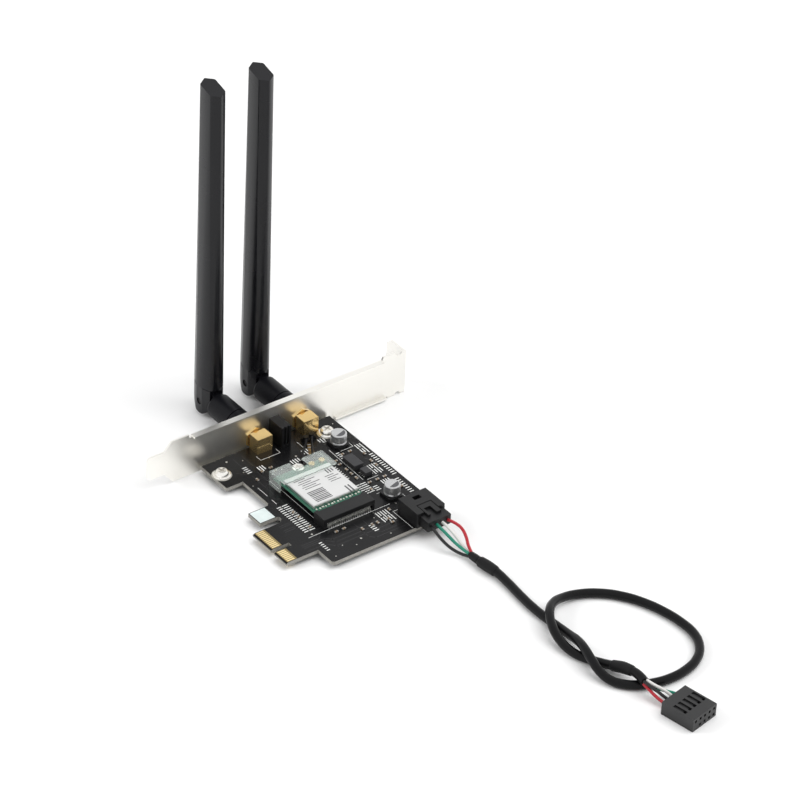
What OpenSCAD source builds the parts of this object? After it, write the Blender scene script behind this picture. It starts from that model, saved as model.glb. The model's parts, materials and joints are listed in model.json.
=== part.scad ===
// Wireless network card for a desktop computer, lying component side up.
// It has a slot bracket, two folding antennas and a lead with a ten-hole connector.
// Card frame: x 0 is the bracket's inner face, y 0 the tip of its tongue, z 0 the table.

/* [Board] */
// Thickness of the circuit board
board_t = 1.6; // [1.4:0.1:2]
// Underside of the board over the bracket's lower edge
board_rise = 1; // [0.9:0.1:2]
// Gap between the bracket and the board
board_gap = 1; // [0.5:0.1:1.4]
// Far edge of the board, from the bracket
board_far_x = 76.5; // [75:0.5:90]
// Lower edge of the board beside the bracket
near_low_y = 23.6; // [22:0.2:25]
// Length of the board's step beside the bracket
near_step_x = 16.6; // [15:0.2:18]
// Lower edge of the board's middle
mid_low_y = 31; // [30:0.2:33]
// Lower edge of the board's far end
far_low_y = 29.8; // [29:0.2:32]
// Upper edge of the board
board_top_y = 83.1; // [82:0.5:88]
// Near side of the small tab
tab_x = 35; // [33:0.2:36]
// Width of the small tab
tab_w = 7.6; // [6:0.2:7.8]
// Tip of the small tab
tab_tip_y = 21.3; // [20:0.2:25]

/* [Card edge] */
// Near side of the card edge, from the bracket
edge_x = 46.1; // [45:0.1:47]
// Width of the near group of contacts
group_a_w = 11.65; // [11.65:0.05:12]
// Width of the key notch
key_w = 1.9; // [1.8:0.05:2]
// Width of the far group of contacts
group_b_w = 7.65; // [7.65:0.05:8]
// Tip of the card edge
edge_tip_y = 15.5; // [14.5:0.1:16.5]
// Inner end of the key notch
key_end_y = 23.4; // [22:0.1:25]
// Inner end of the gap beside the small tab
gap_end_y = 28.4; // [27:0.1:29.5]
// Distance between contacts
pad_pitch = 1; // [0.9:0.05:1]
// Width of a contact
pad_w = 0.7; // [0.5:0.05:0.8]
// Length of a contact
pad_len = 4.2; // [3:0.1:5]
// Thickness of a contact
pad_t = 0.05; // [0.03:0.01:0.1]
// Bevel of the card edge's tip
edge_bevel = 0.5; // [0.2:0.05:0.6]

/* [Bracket] */
// Thickness of the bracket's sheet
sheet_t = 0.86; // [0.7:0.02:0.9]
// Length of the bracket
bracket_len = 120.02; // [118:0.01:122]
// Height of the bracket
bracket_h = 18.42; // [18:0.02:20]
// Lower side of the tongue over the bracket's lower edge
tongue_low = 4.6; // [3.5:0.1:6]
// Width of the tongue
tongue_w = 10.19; // [9:0.01:11]
// Length of the tongue's straight part
tongue_len = 7.5; // [6:0.1:9]
// Length of the slope beside the tongue
shoulder_len = 3.9; // [3:0.1:5]
// Corner radius of the tongue
tongue_r = 1.6; // [0.5:0.1:3]
// Depth of the stiffening flanges
flange_d = 1.75; // [1.2:0.05:2.5]
// Start of the upper flange
flange_start_y = 20; // [19.5:0.5:24]
// Start of the lower flange
low_flange_start_y = 86; // [85:0.5:90]
// Length of the plain end beyond the upper flange
plain_end = 11.5; // [10:0.5:13]
// Rise of the plain end over the bracket
end_rise = 0.9; // [0.4:0.1:1.5]
// Drop of the plain end's foot under the bracket
end_drop = 0.8; // [0.5:0.1:1.2]
// Reach of the bent top tab
top_tab_len = 11.43; // [11:0.01:12]
// Width of the screw slot in the top tab
slot_w = 4.42; // [4.3:0.02:5]
// Depth of the screw slot
slot_depth = 6.2; // [5:0.1:7]
// Middle of the screw slot from the bracket's inner face
slot_x = 6.4; // [6:0.1:7]
// Width of a fixing tab under the board
fix_tab_w = 9.4; // [8:0.1:9.5]
// Distance from a screw to the low side of its fixing tab
fix_tab_low = 2.1; // [1.8:0.1:2.2]
// Length of a fixing tab
fix_tab_len = 13; // [12:0.5:14]

/* [Bracket screws] */
// Distance of the screws from the bracket
screw_x = 9.7; // [9.6:0.1:10]
// Height along the bracket of the lower screw
screw_y = 26.9; // [26.5:0.1:28]
// Distance between the screws
screw_pitch = 48.7; // [48.6:0.1:49]
// Diameter of a screw's shank
screw_d = 2.9; // [2.5:0.1:3]
// Diameter of a screw's flange
screw_flange_d = 7; // [6:0.1:7]
// Diameter of a screw's pan head
screw_head_d = 5.4; // [4.5:0.1:5.8]
// Height of a screw's head with its flange
screw_head_h = 2.3; // [1.8:0.1:3]
// Thickness of a screw's flange
screw_flange_t = 0.7; // [0.5:0.1:1]

/* [Antenna sockets] */
// Place of the left socket along the bracket
socket_y = 48.8; // [48:0.1:49]
// Distance between the two sockets
socket_pitch = 21.5; // [21:0.1:22]
// Length of a socket's square body
socket_len = 5.4; // [5:0.1:5.6]
// Width of a socket's square body
socket_w = 6.8; // [6:0.1:7]
// Height of a socket's square body
socket_h = 6.6; // [6:0.1:7]
// Diameter of the threaded barrel
barrel_d = 6.3; // [5.9:0.05:6.4]
// Reach of the barrel outside the bracket
barrel_len = 9.6; // [9:0.1:10]
// Across flats of the hexagonal flange and nut
hex_af = 8; // [7.8:0.1:8.4]
// Thickness of the inner flange
inner_flange_t = 0.8; // [0.6:0.1:1]
// Bare barrel between the flange and the body
neck_len = 0.5; // [0.3:0.1:0.7]
// Thickness of the lock washer
washer_t = 0.6; // [0.4:0.05:0.8]
// Thickness of the outer nut
nut_t = 2; // [1.6:0.1:2.2]
// Diameter of the white insulator
insulator_d = 4.4; // [4:0.1:4.6]
// Diameter of the centre contact
contact_d = 1.3; // [1.2:0.05:1.6]
// Diameter of a leg
leg_d = 1; // [0.8:0.05:1.2]
// Reach of legs and pins under the board
tail_len = 0.6; // [0.3:0.1:0.8]

/* [Antennas] */
// Distance of the hinge from the bracket
hinge_x = 31; // [30.5:0.1:33]
// Length of a blade above its hinge
blade_len = 137.4; // [120:0.1:170]
// Width of a blade at its top
blade_w_top = 10.9; // [9:0.1:12]
// Width of a blade at its base
blade_w_base = 14; // [13:0.1:15]
// Width of a blade's flat at its top
flat_w_top = 6.8; // [5:0.1:8]
// Width of a blade's flat at its base
flat_w_base = 8.8; // [7:0.1:10]
// Thickness of a blade at its top
blade_t_top = 6.7; // [5:0.1:8]
// Thickness of a blade at its base
blade_t_base = 9.2; // [8.8:0.1:10]
// Slope of a blade's cut top
top_slope = 0.26; // [0:0.02:0.4]
// Radius of the fork's round ends
fork_r = 5.3; // [5:0.1:5.5]
// Thickness of the fork over both arms
fork_t = 8.8; // [8:0.1:9]
// Radius of the knuckle's tongue
knuckle_r = 4.8; // [4.2:0.1:4.9]
// Thickness of the knuckle's tongue
knuckle_t = 4.1; // [3.5:0.1:4.5]
// Diameter of the knuckle's round body
knuckle_d = 10.4; // [9.5:0.1:10.6]
// Diameter of the hinge pin
pin_d = 2.6; // [2:0.1:3]
// Depth that the pin's ends lie below the fork's faces
pin_recess = 0.5; // [0.2:0.1:1]
// Diameter of the coupling ring
ring_d = 10.4; // [9.6:0.1:10.6]
// Length of the coupling ring
ring_len = 8.6; // [8:0.1:9]
// Thickness of the coupling ring's end wall
ring_wall = 1; // [0.8:0.1:1.2]
// Diameter of the stem that turns in the ring
stem_d = 4.4; // [4:0.1:4.8]
// Thickness of the collar that keeps the stem in
collar_t = 0.6; // [0.4:0.1:0.6]
// Diameter of the antenna's centre pin
tip_d = 0.9; // [0.7:0.05:0.95]
// Reach of the centre pin into the socket's barrel
tip_reach = 5.2; // [4:0.1:5.4]
// Diameter of the radiating rod
rod_d = 2.2; // [1.8:0.1:2.6]
// Length of the radiating rod
rod_len = 96; // [60:1:110]

/* [Light holder] */
// Distance of the light holder from the left socket's middle
holder_gap = 6.5; // [5.5:0.1:7.5]
// Width of the light holder
holder_w = 4.3; // [4:0.1:5]
// Length of the light holder from the bracket
holder_len = 8.4; // [7:0.1:9]
// Height of the light holder over the board
holder_h = 9.2; // [8.6:0.1:10]
// Diameter of a lamp
lamp_d = 2.9; // [2:0.1:3]
// Reach of a lamp into its holder
lamp_len = 4.9; // [4:0.1:6]
// Height of the lower lamp over the board
lamp_low = 2.4; // [2.2:0.1:2.6]
// Distance between the lamps
lamp_pitch = 4.2; // [3.6:0.1:4.4]

/* [Radio module] */
// End of the module beside the bracket
module_x = 26.2; // [25.8:0.1:26.6]
// Middle of the module along the bracket
module_y = 50.2; // [49.5:0.1:51]
// Length of the module
module_len = 30; // [29.8:0.1:30.2]
// Width of the module
module_w = 22; // [21.8:0.1:22.2]
// Thickness of the module's board
module_t = 0.8; // [0.7:0.05:0.9]
// Underside of the module over the main board
module_rise = 2.9; // [2.5:0.1:3.2]
// Height of the shield
shield_h = 1.4; // [1.2:0.1:1.5]
// Distance of the shield from the module's near end
shield_inset = 5; // [4.8:0.1:5.2]
// Length of the shield
shield_len = 19.2; // [18.5:0.1:20.7]
// Width of the shield
shield_w = 20.8; // [20:0.1:21.4]
// Thickness of the label
label_t = 0.1; // [0.05:0.01:0.2]
// Length of the module's edge that lies in its socket
seat_len = 4; // [3:0.1:4.1]
// Length of the module's socket along the card
slot_body_len = 6.6; // [6:0.1:7]
// Height of the module's socket
slot_body_h = 4.4; // [4.2:0.1:5]
// Width that the socket stands proud of the module, each side
slot_cheek = 0.6; // [0.4:0.1:1]
// Pitch of the socket's contacts
slot_pitch = 1; // [1:0.1:2]
// Depth of the undercut over the socket's soldered contacts
slot_under_len = 1.1; // [0.8:0.1:1.4]
// Height of that undercut
slot_under_h = 2.2; // [1.6:0.1:2.4]
// Width of a soldered contact
slot_foot_w = 0.4; // [0.3:0.05:0.5]
// Radius of the module's half-round screw notch
notch_r = 1.75; // [1.6:0.05:1.9]
// Diameter of the module screw's head
module_screw_d = 4.8; // [4.2:0.1:5]
// Diameter of the module's standoff
standoff_d = 4.4; // [4:0.1:5]
// Side of a tiny coax plug
coax_plug_d = 2.4; // [2:0.1:2.6]
// Height of a tiny coax plug
coax_plug_h = 1.3; // [1:0.1:1.4]
// Distance of the coax plugs from the module's end
coax_inset = 1.8; // [1.4:0.1:2.2]
// Distances of the two coax plugs from the module's upper edge
coax_edges = [6.1, 1.6];

/* [Clear clip] */
// Length of the clip along the card
clip_len = 9.9; // [9:0.1:10.4]
// Distance of the clip's near edge from the module's end
clip_back = 1.9; // [1.6:0.1:2.4]
// Thickness of the clip's plastic
clip_t = 0.8; // [0.6:0.1:1]
// Gap between the module and the clip's walls
clip_gap = 0.3; // [0.2:0.1:0.6]
// Gap between the label and the clip's roof
clip_clear = 0.3; // [0.2:0.1:0.6]
// Width of the notch around the module's screw
clip_notch_w = 5.6; // [5.4:0.1:6]
// Depth of that notch
clip_notch_len = 4.8; // [4.6:0.1:5.4]

/* [Coax leads] */
// Diameter of a coax lead
coax_d = 0.9; // [0.8:0.1:1.2]
// Side of a receptacle on the main board
receptacle_w = 2.6; // [2.4:0.1:2.8]
// Height of a receptacle
receptacle_h = 1.2; // [1:0.1:1.4]

/* [Capacitors and chips] */
// Diameter of a capacitor's can
can_d = 6.3; // [5:0.1:6.6]
// Height of a capacitor over the board
can_h = 5.7; // [5:0.1:7.7]
// Side of a capacitor's base
can_base_w = 6.6; // [6.6:0.1:7]
// Height of a capacitor's base
can_base_h = 1.2; // [0.8:0.1:1.5]
// Middle of the capacitor beside the bracket
near_can = [18.2, 74.8];
// Middle of the capacitor beside the header
far_can = [55.6, 72.2];
// Middle of the regulator chip
chip_a = [31.6, 71.8];
// Length, width and height of the regulator chip
chip_a_size = [7.6, 4.4, 2.2];
// Middle of the power chip
chip_b = [38.9, 72.5];
// Length, width and height of the power chip
chip_b_size = [3.9, 3.2, 1.8];
// Height of the small parts
small_h = 0.6; // [0.3:0.05:1]

/* [Header and plug] */
// Near side of the header
header_x = 65.3; // [64:0.1:66]
// Low side of the header
header_y = 67.5; // [66.5:0.1:68]
// Length of the header
header_len = 12; // [11:0.1:12.5]
// Width of the header
header_w = 12.7; // [12.5:0.1:13.5]
// Height of the header
header_h = 6.5; // [6:0.1:7.5]
// Thickness of the header's walls
header_wall = 1; // [0.8:0.1:1.2]
// Thickness of the header's back
header_back = 3.6; // [3:0.1:4]
// Distance between its pins
pin_pitch = 2.54; // [2.5:0.01:2.6]
// Side of a square pin
pin_w = 0.6; // [0.5:0.02:0.64]
// Clearance of the plug in the header
plug_gap = 0.1; // [0.05:0.05:0.2]
// Reach of the plug past the header
plug_out = 5.2; // [4:0.1:6]
// Distance of the header's small window from its back
window_back = 2.1; // [1.5:0.1:3]
// Length of that window
window_len = 2; // [1.5:0.1:2.4]
// Width of that window
window_w = 3.2; // [2.5:0.1:4]
// Length of the open notch over the plug's latch
latch_len = 4.8; // [4:0.1:5.2]
// Width of that notch
latch_w = 6.6; // [6.4:0.1:7]
// Height of the latch over the plug
latch_h = 1; // [0.8:0.05:1]
// Length of the latch's prongs past the header
prong_len = 2.2; // [1.5:0.1:3]
// Width of the latch's wide prong
prong_w = 2.1; // [1.5:0.1:2.3]

/* [Lead] */
// Diameter of the round cable
cable_d = 3.4; // [3:0.1:4]
// Diameter of a wire
wire_d = 1.2; // [1:0.05:1.3]
// Diameter of the shrunk sleeves
sleeve_d = 4.4; // [4:0.1:4.8]
// Diameter of the thin sleeve over the four wires
neck_sleeve_d = 3.2; // [3:0.1:3.4]

/* [End connector] */
// Length of the end connector
end_len = 14.2; // [13:0.1:15]
// Width of the end connector
end_w = 13; // [12.8:0.1:13.4]
// Height of the end connector
end_h = 5.4; // [5.2:0.1:6]
// Side of a contact hole
end_hole_w = 1.1; // [1:0.05:1.3]
// Length of a latch slot in its top
end_slot_len = 5.6; // [4:0.1:6]
// Width of a latch slot
end_slot_w = 1.4; // [1:0.1:1.6]
// Depth of a latch slot
end_slot_d = 0.6; // [0.4:0.05:0.8]
// Middle of the end connector in the card frame
end_at = [212.4, 84.2];
// Turn of the end connector
end_turn = 11; // [0:1:20]

/* [Hidden] */
$fn = 48;
eps = 0.01;
// Radial clearance of what turns or fits
fit = 0.05;

bracket_z = end_drop;
board_z = bracket_z + board_rise;
top_z = board_z + board_t;
socket_z = top_z + socket_h / 2;
socket_right_y = socket_y + socket_pitch;
holder_y = socket_y + holder_gap;
body_x = inner_flange_t + neck_len;
outer_x = -sheet_t;
nut_x = outer_x - washer_t;
ring_x = nut_x - nut_t - fit;
ring_end_x = ring_x - ring_len;
collar_x = ring_end_x + ring_wall + fit;
shoulder_x = -hinge_x + fork_r + 0.3;
slot_top = knuckle_r + 0.4;
blade_start = fork_r + 0.4;
blade_full = fork_r + 2;
blade_cut_base = 0.33;
blade_cut_top = 0.06;
blade_turns = [0, 0.12, 0.26, 0.45, 0.7, 1];
barrel_end_x = outer_x - barrel_len;

module_z = top_z + module_rise;
module_top_z = module_z + module_t;
module_low_y = module_y - module_w / 2;
shield_top_z = module_top_z + shield_h;
label_top_z = shield_top_z + label_t;
clip_roof_z = label_top_z + clip_clear;
slot_body_x = module_x + module_len - seat_len;
slot_end_x = slot_body_x + slot_body_len;

header_mid_y = header_y + header_w / 2;
header_front_x = header_x + header_len;
cavity_x = header_x + header_back;
plug_end_x = header_front_x + plug_out;
plug_low_z = top_z + header_wall + plug_gap;
plug_h = header_h - 2 * (header_wall + plug_gap);
plug_w = header_w - 2 * (header_wall + plug_gap);
contact_z = plug_low_z + plug_h / 2;
latch_gap = 0.3;

blade_side = (blade_w_base - blade_cut_base * (blade_w_base - flat_w_base)) / 2;
shift = [-(header_front_x - hinge_x - blade_side) / 2, -bracket_len / 2, 0];

// Route of the lead, in round numbers in the card frame
neck_route = [[99.6, 75.2, 2.4], [102, 75.4, 2.4], [104.5, 75.6, 2.4]];
near_sleeve_route = [[104.5, 75.6, 2.4], [108.5, 76.3, 2.3], [113, 76.9, 2.2]];
cable_route = [
    [113, 76.9, 2.2], [120, 76.8, 1.8], [128, 76, 1.7], [136, 75.4, 1.7], [144, 75.5, 1.7],
    [151, 75.8, 1.9], [157, 75.5, 2.8], [163, 74.4, 4.5], [168.5, 72.9, 5.3], [174, 71.6, 4.6],
    [179, 71.2, 3], [184, 72.2, 1.8], [188.4, 74.9, 1.7], [191.6, 79, 1.7], [193.8, 84.4, 1.7],
    [195, 91, 1.7], [194.6, 98, 1.7], [192, 105.4, 1.7], [187, 111, 1.7], [180.4, 114, 1.7],
    [172.6, 114.4, 1.7], [164.6, 113.2, 1.7], [156.6, 110.6, 1.7], [149.4, 106.6, 1.7],
    [143.4, 101, 1.7], [139.6, 94.4, 1.8], [138.8, 87.4, 2.7], [141, 80.6, 4.4],
    [145.6, 75.4, 5.3], [151.4, 72, 4.6], [157.6, 70.6, 3], [164, 71, 1.8], [169.8, 73, 1.7],
    [174.6, 75.4, 1.9], [178.6, 77.2, 2.6]
];
far_sleeve_route = [[178.6, 77.2, 2.6], [183, 78.6, 3.9], [187.6, 79.3, 5]];
cable_end_route = [[187.6, 79.3, 5], [191, 79.3, 5.3], [194.4, 79, 5]];
// Route of each wire at the plug, from the plug's face
plug_wire_routes = [
    [[0, -3.81, 0], [3, -4.1, -0.5], [6.5, -3.6, -2.2], [10, -2.2, -4.2], [13.5, -0.5, -5.2],
        [17, 0.75, -4.85]],
    [[0, -1.27, 0], [3, -1.3, -0.3], [6.5, -0.9, -1.3], [10, -0.2, -2.7], [13.5, 0.5, -3.6],
        [17, 0.75, -3.65]],
    [[0, 1.27, 0], [3, 1.6, -0.5], [6.5, 2, -1.9], [10, 2.3, -3.7], [13.5, 2.2, -4.8],
        [17, 1.95, -4.85]],
    [[0, 3.81, 0], [3, 4.7, 0.1], [6.5, 5.3, -0.5], [10, 4.7, -1.8], [13.5, 3.2, -3.1],
        [17, 1.95, -3.65]]
];
// Route of each wire at the end connector, from the cable into the lower row of holes
end_wire_routes = [
    [[194.6, 78.4, 4.4], [197.6, 78.4, 3.9], [200.6, 78.8, 2.9], [203.2, 79.6, 1.9],
        [205, 80.2, 1.45], [207.4, 80.7, 1.43]],
    [[194.6, 79.6, 5.6], [197.6, 80.4, 5.2], [200.4, 82.4, 4], [202.6, 84, 2.5],
        [204.1, 84.9, 1.5], [206.4, 85.6, 1.43]],
    [[194.6, 78.4, 5.6], [197.6, 78.9, 5.1], [200.6, 80.2, 3.9], [203, 81.6, 2.4],
        [204.6, 82.5, 1.5], [206.9, 83.1, 1.43]],
    [[194.6, 79.6, 4.4], [197.6, 80.6, 3.9], [200.2, 83.4, 2.9], [202, 86, 1.9],
        [203.6, 87.4, 1.45], [205.9, 88.1, 1.43]]
];
// Routes of the coax leads: from the module's plug, then to the receptacle on the board
coax_left_start = [
    [-1.3, 0, -0.05], [-3.8, -0.1, -0.15], [-5.8, 0.3, -1.15], [-7.4, 1.1, -2.75],
    [-9.2, 2.3, -3.75]
];
coax_left_end = [
    [7.2, -6.6, 0.5], [5.2, -4.8, 0.5], [3.6, -3, 0.6], [2.4, -1.6, 1.2], [1.2, -0.6, 1.7]
];
coax_right_start = [
    [-1.3, 0, -0.05], [-3.8, 0.4, -0.15], [-5.8, 1, -1.15], [-7.6, 1.8, -2.75],
    [-9.6, 3, -3.75]
];
coax_right_end = [
    [7.2, -4.8, 0.5], [5.2, -3.4, 0.5], [3.6, -2.4, 0.6], [2.4, -1.6, 1.2], [1.3, -0.8, 1.7]
];
// Height of the upper bracket screw, and how far below it the two receptacles stand
upper_screw_y = screw_y + screw_pitch;
receptacle_drop = [9.8, 6.8];
receptacle_spots = [
    [9.4, upper_screw_y - receptacle_drop[0], top_z],
    [9, upper_screw_y - receptacle_drop[1], top_z]
];
// Reach of a cutter past what it cuts, on each side
cut_over = 3;

// Small parts: place, and 1 where one lies across the card
small_spots = [
    [20, 66.6, 0], [23.4, 66.6, 0], [26.6, 67.4, 1], [29.2, 67.4, 1], [33.2, 67.6, 0],
    [36.4, 67.6, 0], [39.6, 67.6, 0], [44.6, 70, 1], [44.6, 73.6, 1], [44.6, 77, 1],
    [24.4, 72, 1], [24.4, 75.6, 1], [33.8, 78.8, 0], [37, 78.8, 0], [28.6, 79.4, 0],
    [48.4, 68, 0], [50.4, 78, 1], [53, 78.6, 1], [61.8, 78.8, 1], [62.2, 66, 0],
    [66.6, 62.4, 1], [69.2, 62.4, 1], [66.4, 57.6, 0], [66.4, 55.2, 0], [66.4, 50.6, 0],
    [16.4, 44.6, 1], [19, 44.6, 1], [16.6, 40.4, 0], [20, 36, 0], [44, 35.4, 0], [47.4, 35.4, 0],
    [54.6, 35.4, 0], [62.4, 45, 1], [62.4, 41.6, 1]
];
small_len = 1.6;
small_w = 0.85;

function unit(v) = v / norm(v);
function step_between(route, i) = unit(route[min(i + 1, len(route) - 1)] - route[max(i - 1, 0)]);
function side_of(way) = unit(cross(way, [0, 0, 1]));
function ring_points(at, way, d, sides) = [
    for (k = [0:sides - 1])
        at + d / 2 * (cos(360 * (k + 0.5) / sides) * side_of(way)
            + sin(360 * (k + 0.5) / sides) * cross(side_of(way), way))
];
function moved(route, by) = [for (p = route) p + by];

// Moves what is drawn in the card frame to the part's own origin
module in_frame() translate(shift) children();

// Round tube that runs along a route
module tube(route, d, sides = 8) {
    rings = len(route);
    points = [for (i = [0:rings - 1]) each ring_points(route[i], step_between(route, i), d, sides)];
    skin = [
        for (i = [0:rings - 2], k = [0:sides - 1])
            [i * sides + k, i * sides + (k + 1) % sides,
                (i + 1) * sides + (k + 1) % sides, (i + 1) * sides + k]
    ];
    first = [for (k = [0:sides - 1]) sides - 1 - k];
    last = [for (k = [0:sides - 1]) (rings - 1) * sides + k];
    polyhedron(points, concat([first, last], skin));
}

// Cylinder that runs from x a towards +X
module rod_x(a, length, d) translate([a, 0, 0]) rotate([0, 90, 0]) cylinder(h = length, d = d);

// Cylinder along Y, centred
module rod_y(length, d) rotate([90, 0, 0]) cylinder(h = length, d = d, center = true);

// Hexagonal prism along X with flats up and down
module hex_x(a, length, af)
    translate([a, 0, 0]) rotate([0, 90, 0]) cylinder(h = length, d = af / cos(30), $fn = 6);

// Block given by its low corner and size
module block(at, size) translate(at) cube(size);

module at_socket(y) translate([0, y, socket_z]) children();

module at_both_sockets() {
    at_socket(socket_y) children();
    at_socket(socket_right_y) children();
}

module at_screws()
    for (i = [0, 1]) translate([screw_x, screw_y + i * screw_pitch, 0]) children();

// Outline of the board, with its small tab and its card edge
module board_outline() {
    edge_end = edge_x + group_a_w + key_w + group_b_w;
    polygon([
        [board_gap, near_low_y], [board_gap + near_step_x, near_low_y],
        [board_gap + near_step_x, mid_low_y], [tab_x - 1, mid_low_y], [tab_x, mid_low_y - 1],
        [tab_x, tab_tip_y], [tab_x + tab_w, tab_tip_y],
        [tab_x + tab_w, gap_end_y + 0.6], [tab_x + tab_w + 0.6, gap_end_y + 1.2],
        [edge_x - 1.6, gap_end_y + 1.2], [edge_x, gap_end_y - 0.6],
        [edge_x, edge_tip_y], [edge_x + group_a_w, edge_tip_y],
        [edge_x + group_a_w, key_end_y], [edge_x + group_a_w + key_w, key_end_y],
        [edge_x + group_a_w + key_w, edge_tip_y], [edge_end, edge_tip_y],
        [edge_end, far_low_y], [board_far_x - 0.8, far_low_y],
        [board_far_x, far_low_y + 0.8],
        [board_far_x, board_top_y], [board_gap, board_top_y]
    ]);
}

// Wedge that bevels the tip of the card edge, on the upper side
module tip_wedge()
    translate([edge_x - 1, edge_tip_y, 0]) rotate([90, 0, 90])
        linear_extrude(group_a_w + key_w + group_b_w + 2)
            polygon([[-eps, -edge_bevel], [2 * edge_bevel, eps], [-eps, eps]]);

module leg_spots() for (x = [0.9, socket_len - 0.9], y = [-1, 1])
    translate([body_x + x, y * (socket_w / 2 - 0.9), 0]) children();

module pin_spots(count = 4) for (i = [0:count - 1])
    translate([0, header_mid_y + (i - (count - 1) / 2) * pin_pitch, 0]) children();

module board() color("#121314") in_frame() difference() {
    translate([0, 0, board_z]) linear_extrude(board_t) board_outline();
    translate([0, 0, top_z]) tip_wedge();
    translate([0, 0, board_z]) mirror([0, 0, 1]) tip_wedge();
    at_screws() translate([0, 0, board_z - 1]) cylinder(h = board_t + 2, d = screw_d + 0.3);
    for (y = [socket_y, socket_right_y]) translate([0, y, board_z - 1]) leg_spots()
        cylinder(h = board_t + 2, d = leg_d + 2 * fit);
    pin_spots() block([header_x + 1 - fit, -pin_w / 2 - fit, board_z - 1],
        [pin_w + 2 * fit, pin_w + 2 * fit, board_t + 2]);
}

// Row of contacts of one group, on one face of the board
module contact_row(x, width, z) {
    count = floor((width - pad_w) / pad_pitch + 1 - 0.5 * pad_pitch);
    side = (width - (count - 1) * pad_pitch) / 2;
    for (i = [0:count - 1])
        block([x + side + i * pad_pitch - pad_w / 2, edge_tip_y + 2 * edge_bevel, z],
            [pad_w, pad_len - 2 * edge_bevel, pad_t]);
}

module edge_contacts() color("#d8b25a") in_frame() for (z = [top_z, board_z - pad_t]) {
    contact_row(edge_x, group_a_w, z);
    contact_row(edge_x + group_a_w + key_w, group_b_w, z);
}

// Face of the bracket as a flat outline, y across and z up
module bracket_outline() {
    high = tongue_low + tongue_w;
    shoulder_y = tongue_len + shoulder_len;
    end_y = bracket_len - plain_end;
    foot_y = end_y + 3.2;
    relief_y = bracket_len - 3.6;
    rim = bracket_h - 0.5;
    difference() {
        union() {
            polygon([
                [tongue_len, tongue_low], [shoulder_y, 0], [foot_y, 0], [foot_y, -end_drop],
                [bracket_len, -end_drop], [bracket_len, bracket_h],
                [relief_y + 1.4, bracket_h], [relief_y - 2, bracket_h + end_rise],
                [end_y + 0.5, bracket_h + end_rise], [end_y, rim], [flange_start_y - 0.4, rim],
                [flange_start_y - 0.4, bracket_h], [shoulder_y - 0.5, bracket_h],
                [tongue_len, high]
            ]);
            translate([tongue_r, tongue_low]) square([tongue_len - tongue_r + eps, tongue_w]);
            translate([0, tongue_low + tongue_r])
                square([tongue_r + eps, tongue_w - 2 * tongue_r]);
            for (z = [tongue_low + tongue_r, high - tongue_r])
                translate([tongue_r, z]) circle(r = tongue_r);
        }
        translate([flange_start_y - 1.4, rim - 0.9]) square([1, 2]);
        translate([relief_y, bracket_h + 0.6]) circle(r = 1.5);
        translate([relief_y, -end_drop]) circle(r = 1.3);
    }
}

module bracket() color("#d6d6d2") in_frame() translate([0, 0, bracket_z]) {
    end_y = bracket_len - plain_end;
    difference() {
        union() {
            translate([-sheet_t, 0, 0]) rotate([90, 0, 90]) linear_extrude(sheet_t)
                bracket_outline();
            block([-sheet_t, flange_start_y, bracket_h - 0.5 - sheet_t],
                [sheet_t + flange_d, end_y - flange_start_y, sheet_t]);
            block([-sheet_t, low_flange_start_y, 0],
                [sheet_t + flange_d, end_y + 1.6 - low_flange_start_y, sheet_t]);
            block([-top_tab_len, bracket_len - sheet_t, -end_drop],
                [top_tab_len, sheet_t, bracket_h + end_drop]);
            for (i = [0, 1])
                block([-sheet_t, screw_y + i * screw_pitch - fix_tab_low, board_rise - sheet_t],
                    [sheet_t + fix_tab_len, fix_tab_w, sheet_t]);
        }
        for (y = [socket_y, socket_right_y])
            translate([0, y, socket_z - bracket_z]) rod_x(-2, 4, barrel_d + 4 * fit);
        for (i = [0, 1])
            translate([0, holder_y + holder_w / 2, top_z - bracket_z + lamp_low + i * lamp_pitch])
                rod_x(-2, 4, lamp_d + 4 * fit);
        at_screws() translate([0, 0, -1]) cylinder(h = 4, d = screw_d + 2 * fit);
        translate([-slot_x, bracket_len, slot_depth - end_drop - slot_w / 2])
            rod_y(2 * cut_over, slot_w);
        block([-slot_x - slot_w / 2, bracket_len - cut_over, -end_drop - 1],
            [slot_w, 2 * cut_over, slot_depth + 1 - slot_w / 2]);
        translate([-top_tab_len, bracket_len - cut_over, bracket_h]) rotate([0, 45, 0])
            cube([3.4, 2 * cut_over, 3.4], center = true);
    }
}

module bracket_screws() color("#c9c9c6") in_frame() at_screws()
    translate([0, 0, top_z]) difference() {
        rotate_extrude() polygon([
            [0, -board_t - sheet_t], [screw_d / 2, -board_t - sheet_t],
            [screw_d / 2, 0], [screw_flange_d / 2, 0],
            [screw_flange_d / 2, screw_flange_t * 0.6], [screw_head_d / 2 + 0.2, screw_flange_t],
            [screw_head_d / 2, screw_flange_t],
            for (a = [10:10:80])
                [screw_head_d / 2 - 1.3 + 1.3 * cos(a),
                    screw_flange_t + (screw_head_h - screw_flange_t) * sin(a)],
            [0, screw_head_h]
        ]);
        for (turn = [0, 90]) rotate([0, 0, turn + 20])
            translate([-1.6, -0.35, screw_head_h - 1.2]) cube([3.2, 0.7, 2]);
    }

// Gold socket: square body, neck, hexagonal flange and threaded barrel
module socket_body(y) in_frame() at_socket(y) difference() {
    union() {
        block([body_x, -socket_w / 2, -socket_h / 2], [socket_len, socket_w, socket_h]);
        hex_x(0, inner_flange_t, hex_af);
        rod_x(barrel_end_x, body_x - barrel_end_x + eps, barrel_d);
        translate([0, 0, -socket_h / 2 - board_t - tail_len]) leg_spots()
            cylinder(h = board_t + tail_len + eps, d = leg_d);
    }
    rod_x(barrel_end_x - 1, barrel_len + 3, insulator_d);
}

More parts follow.
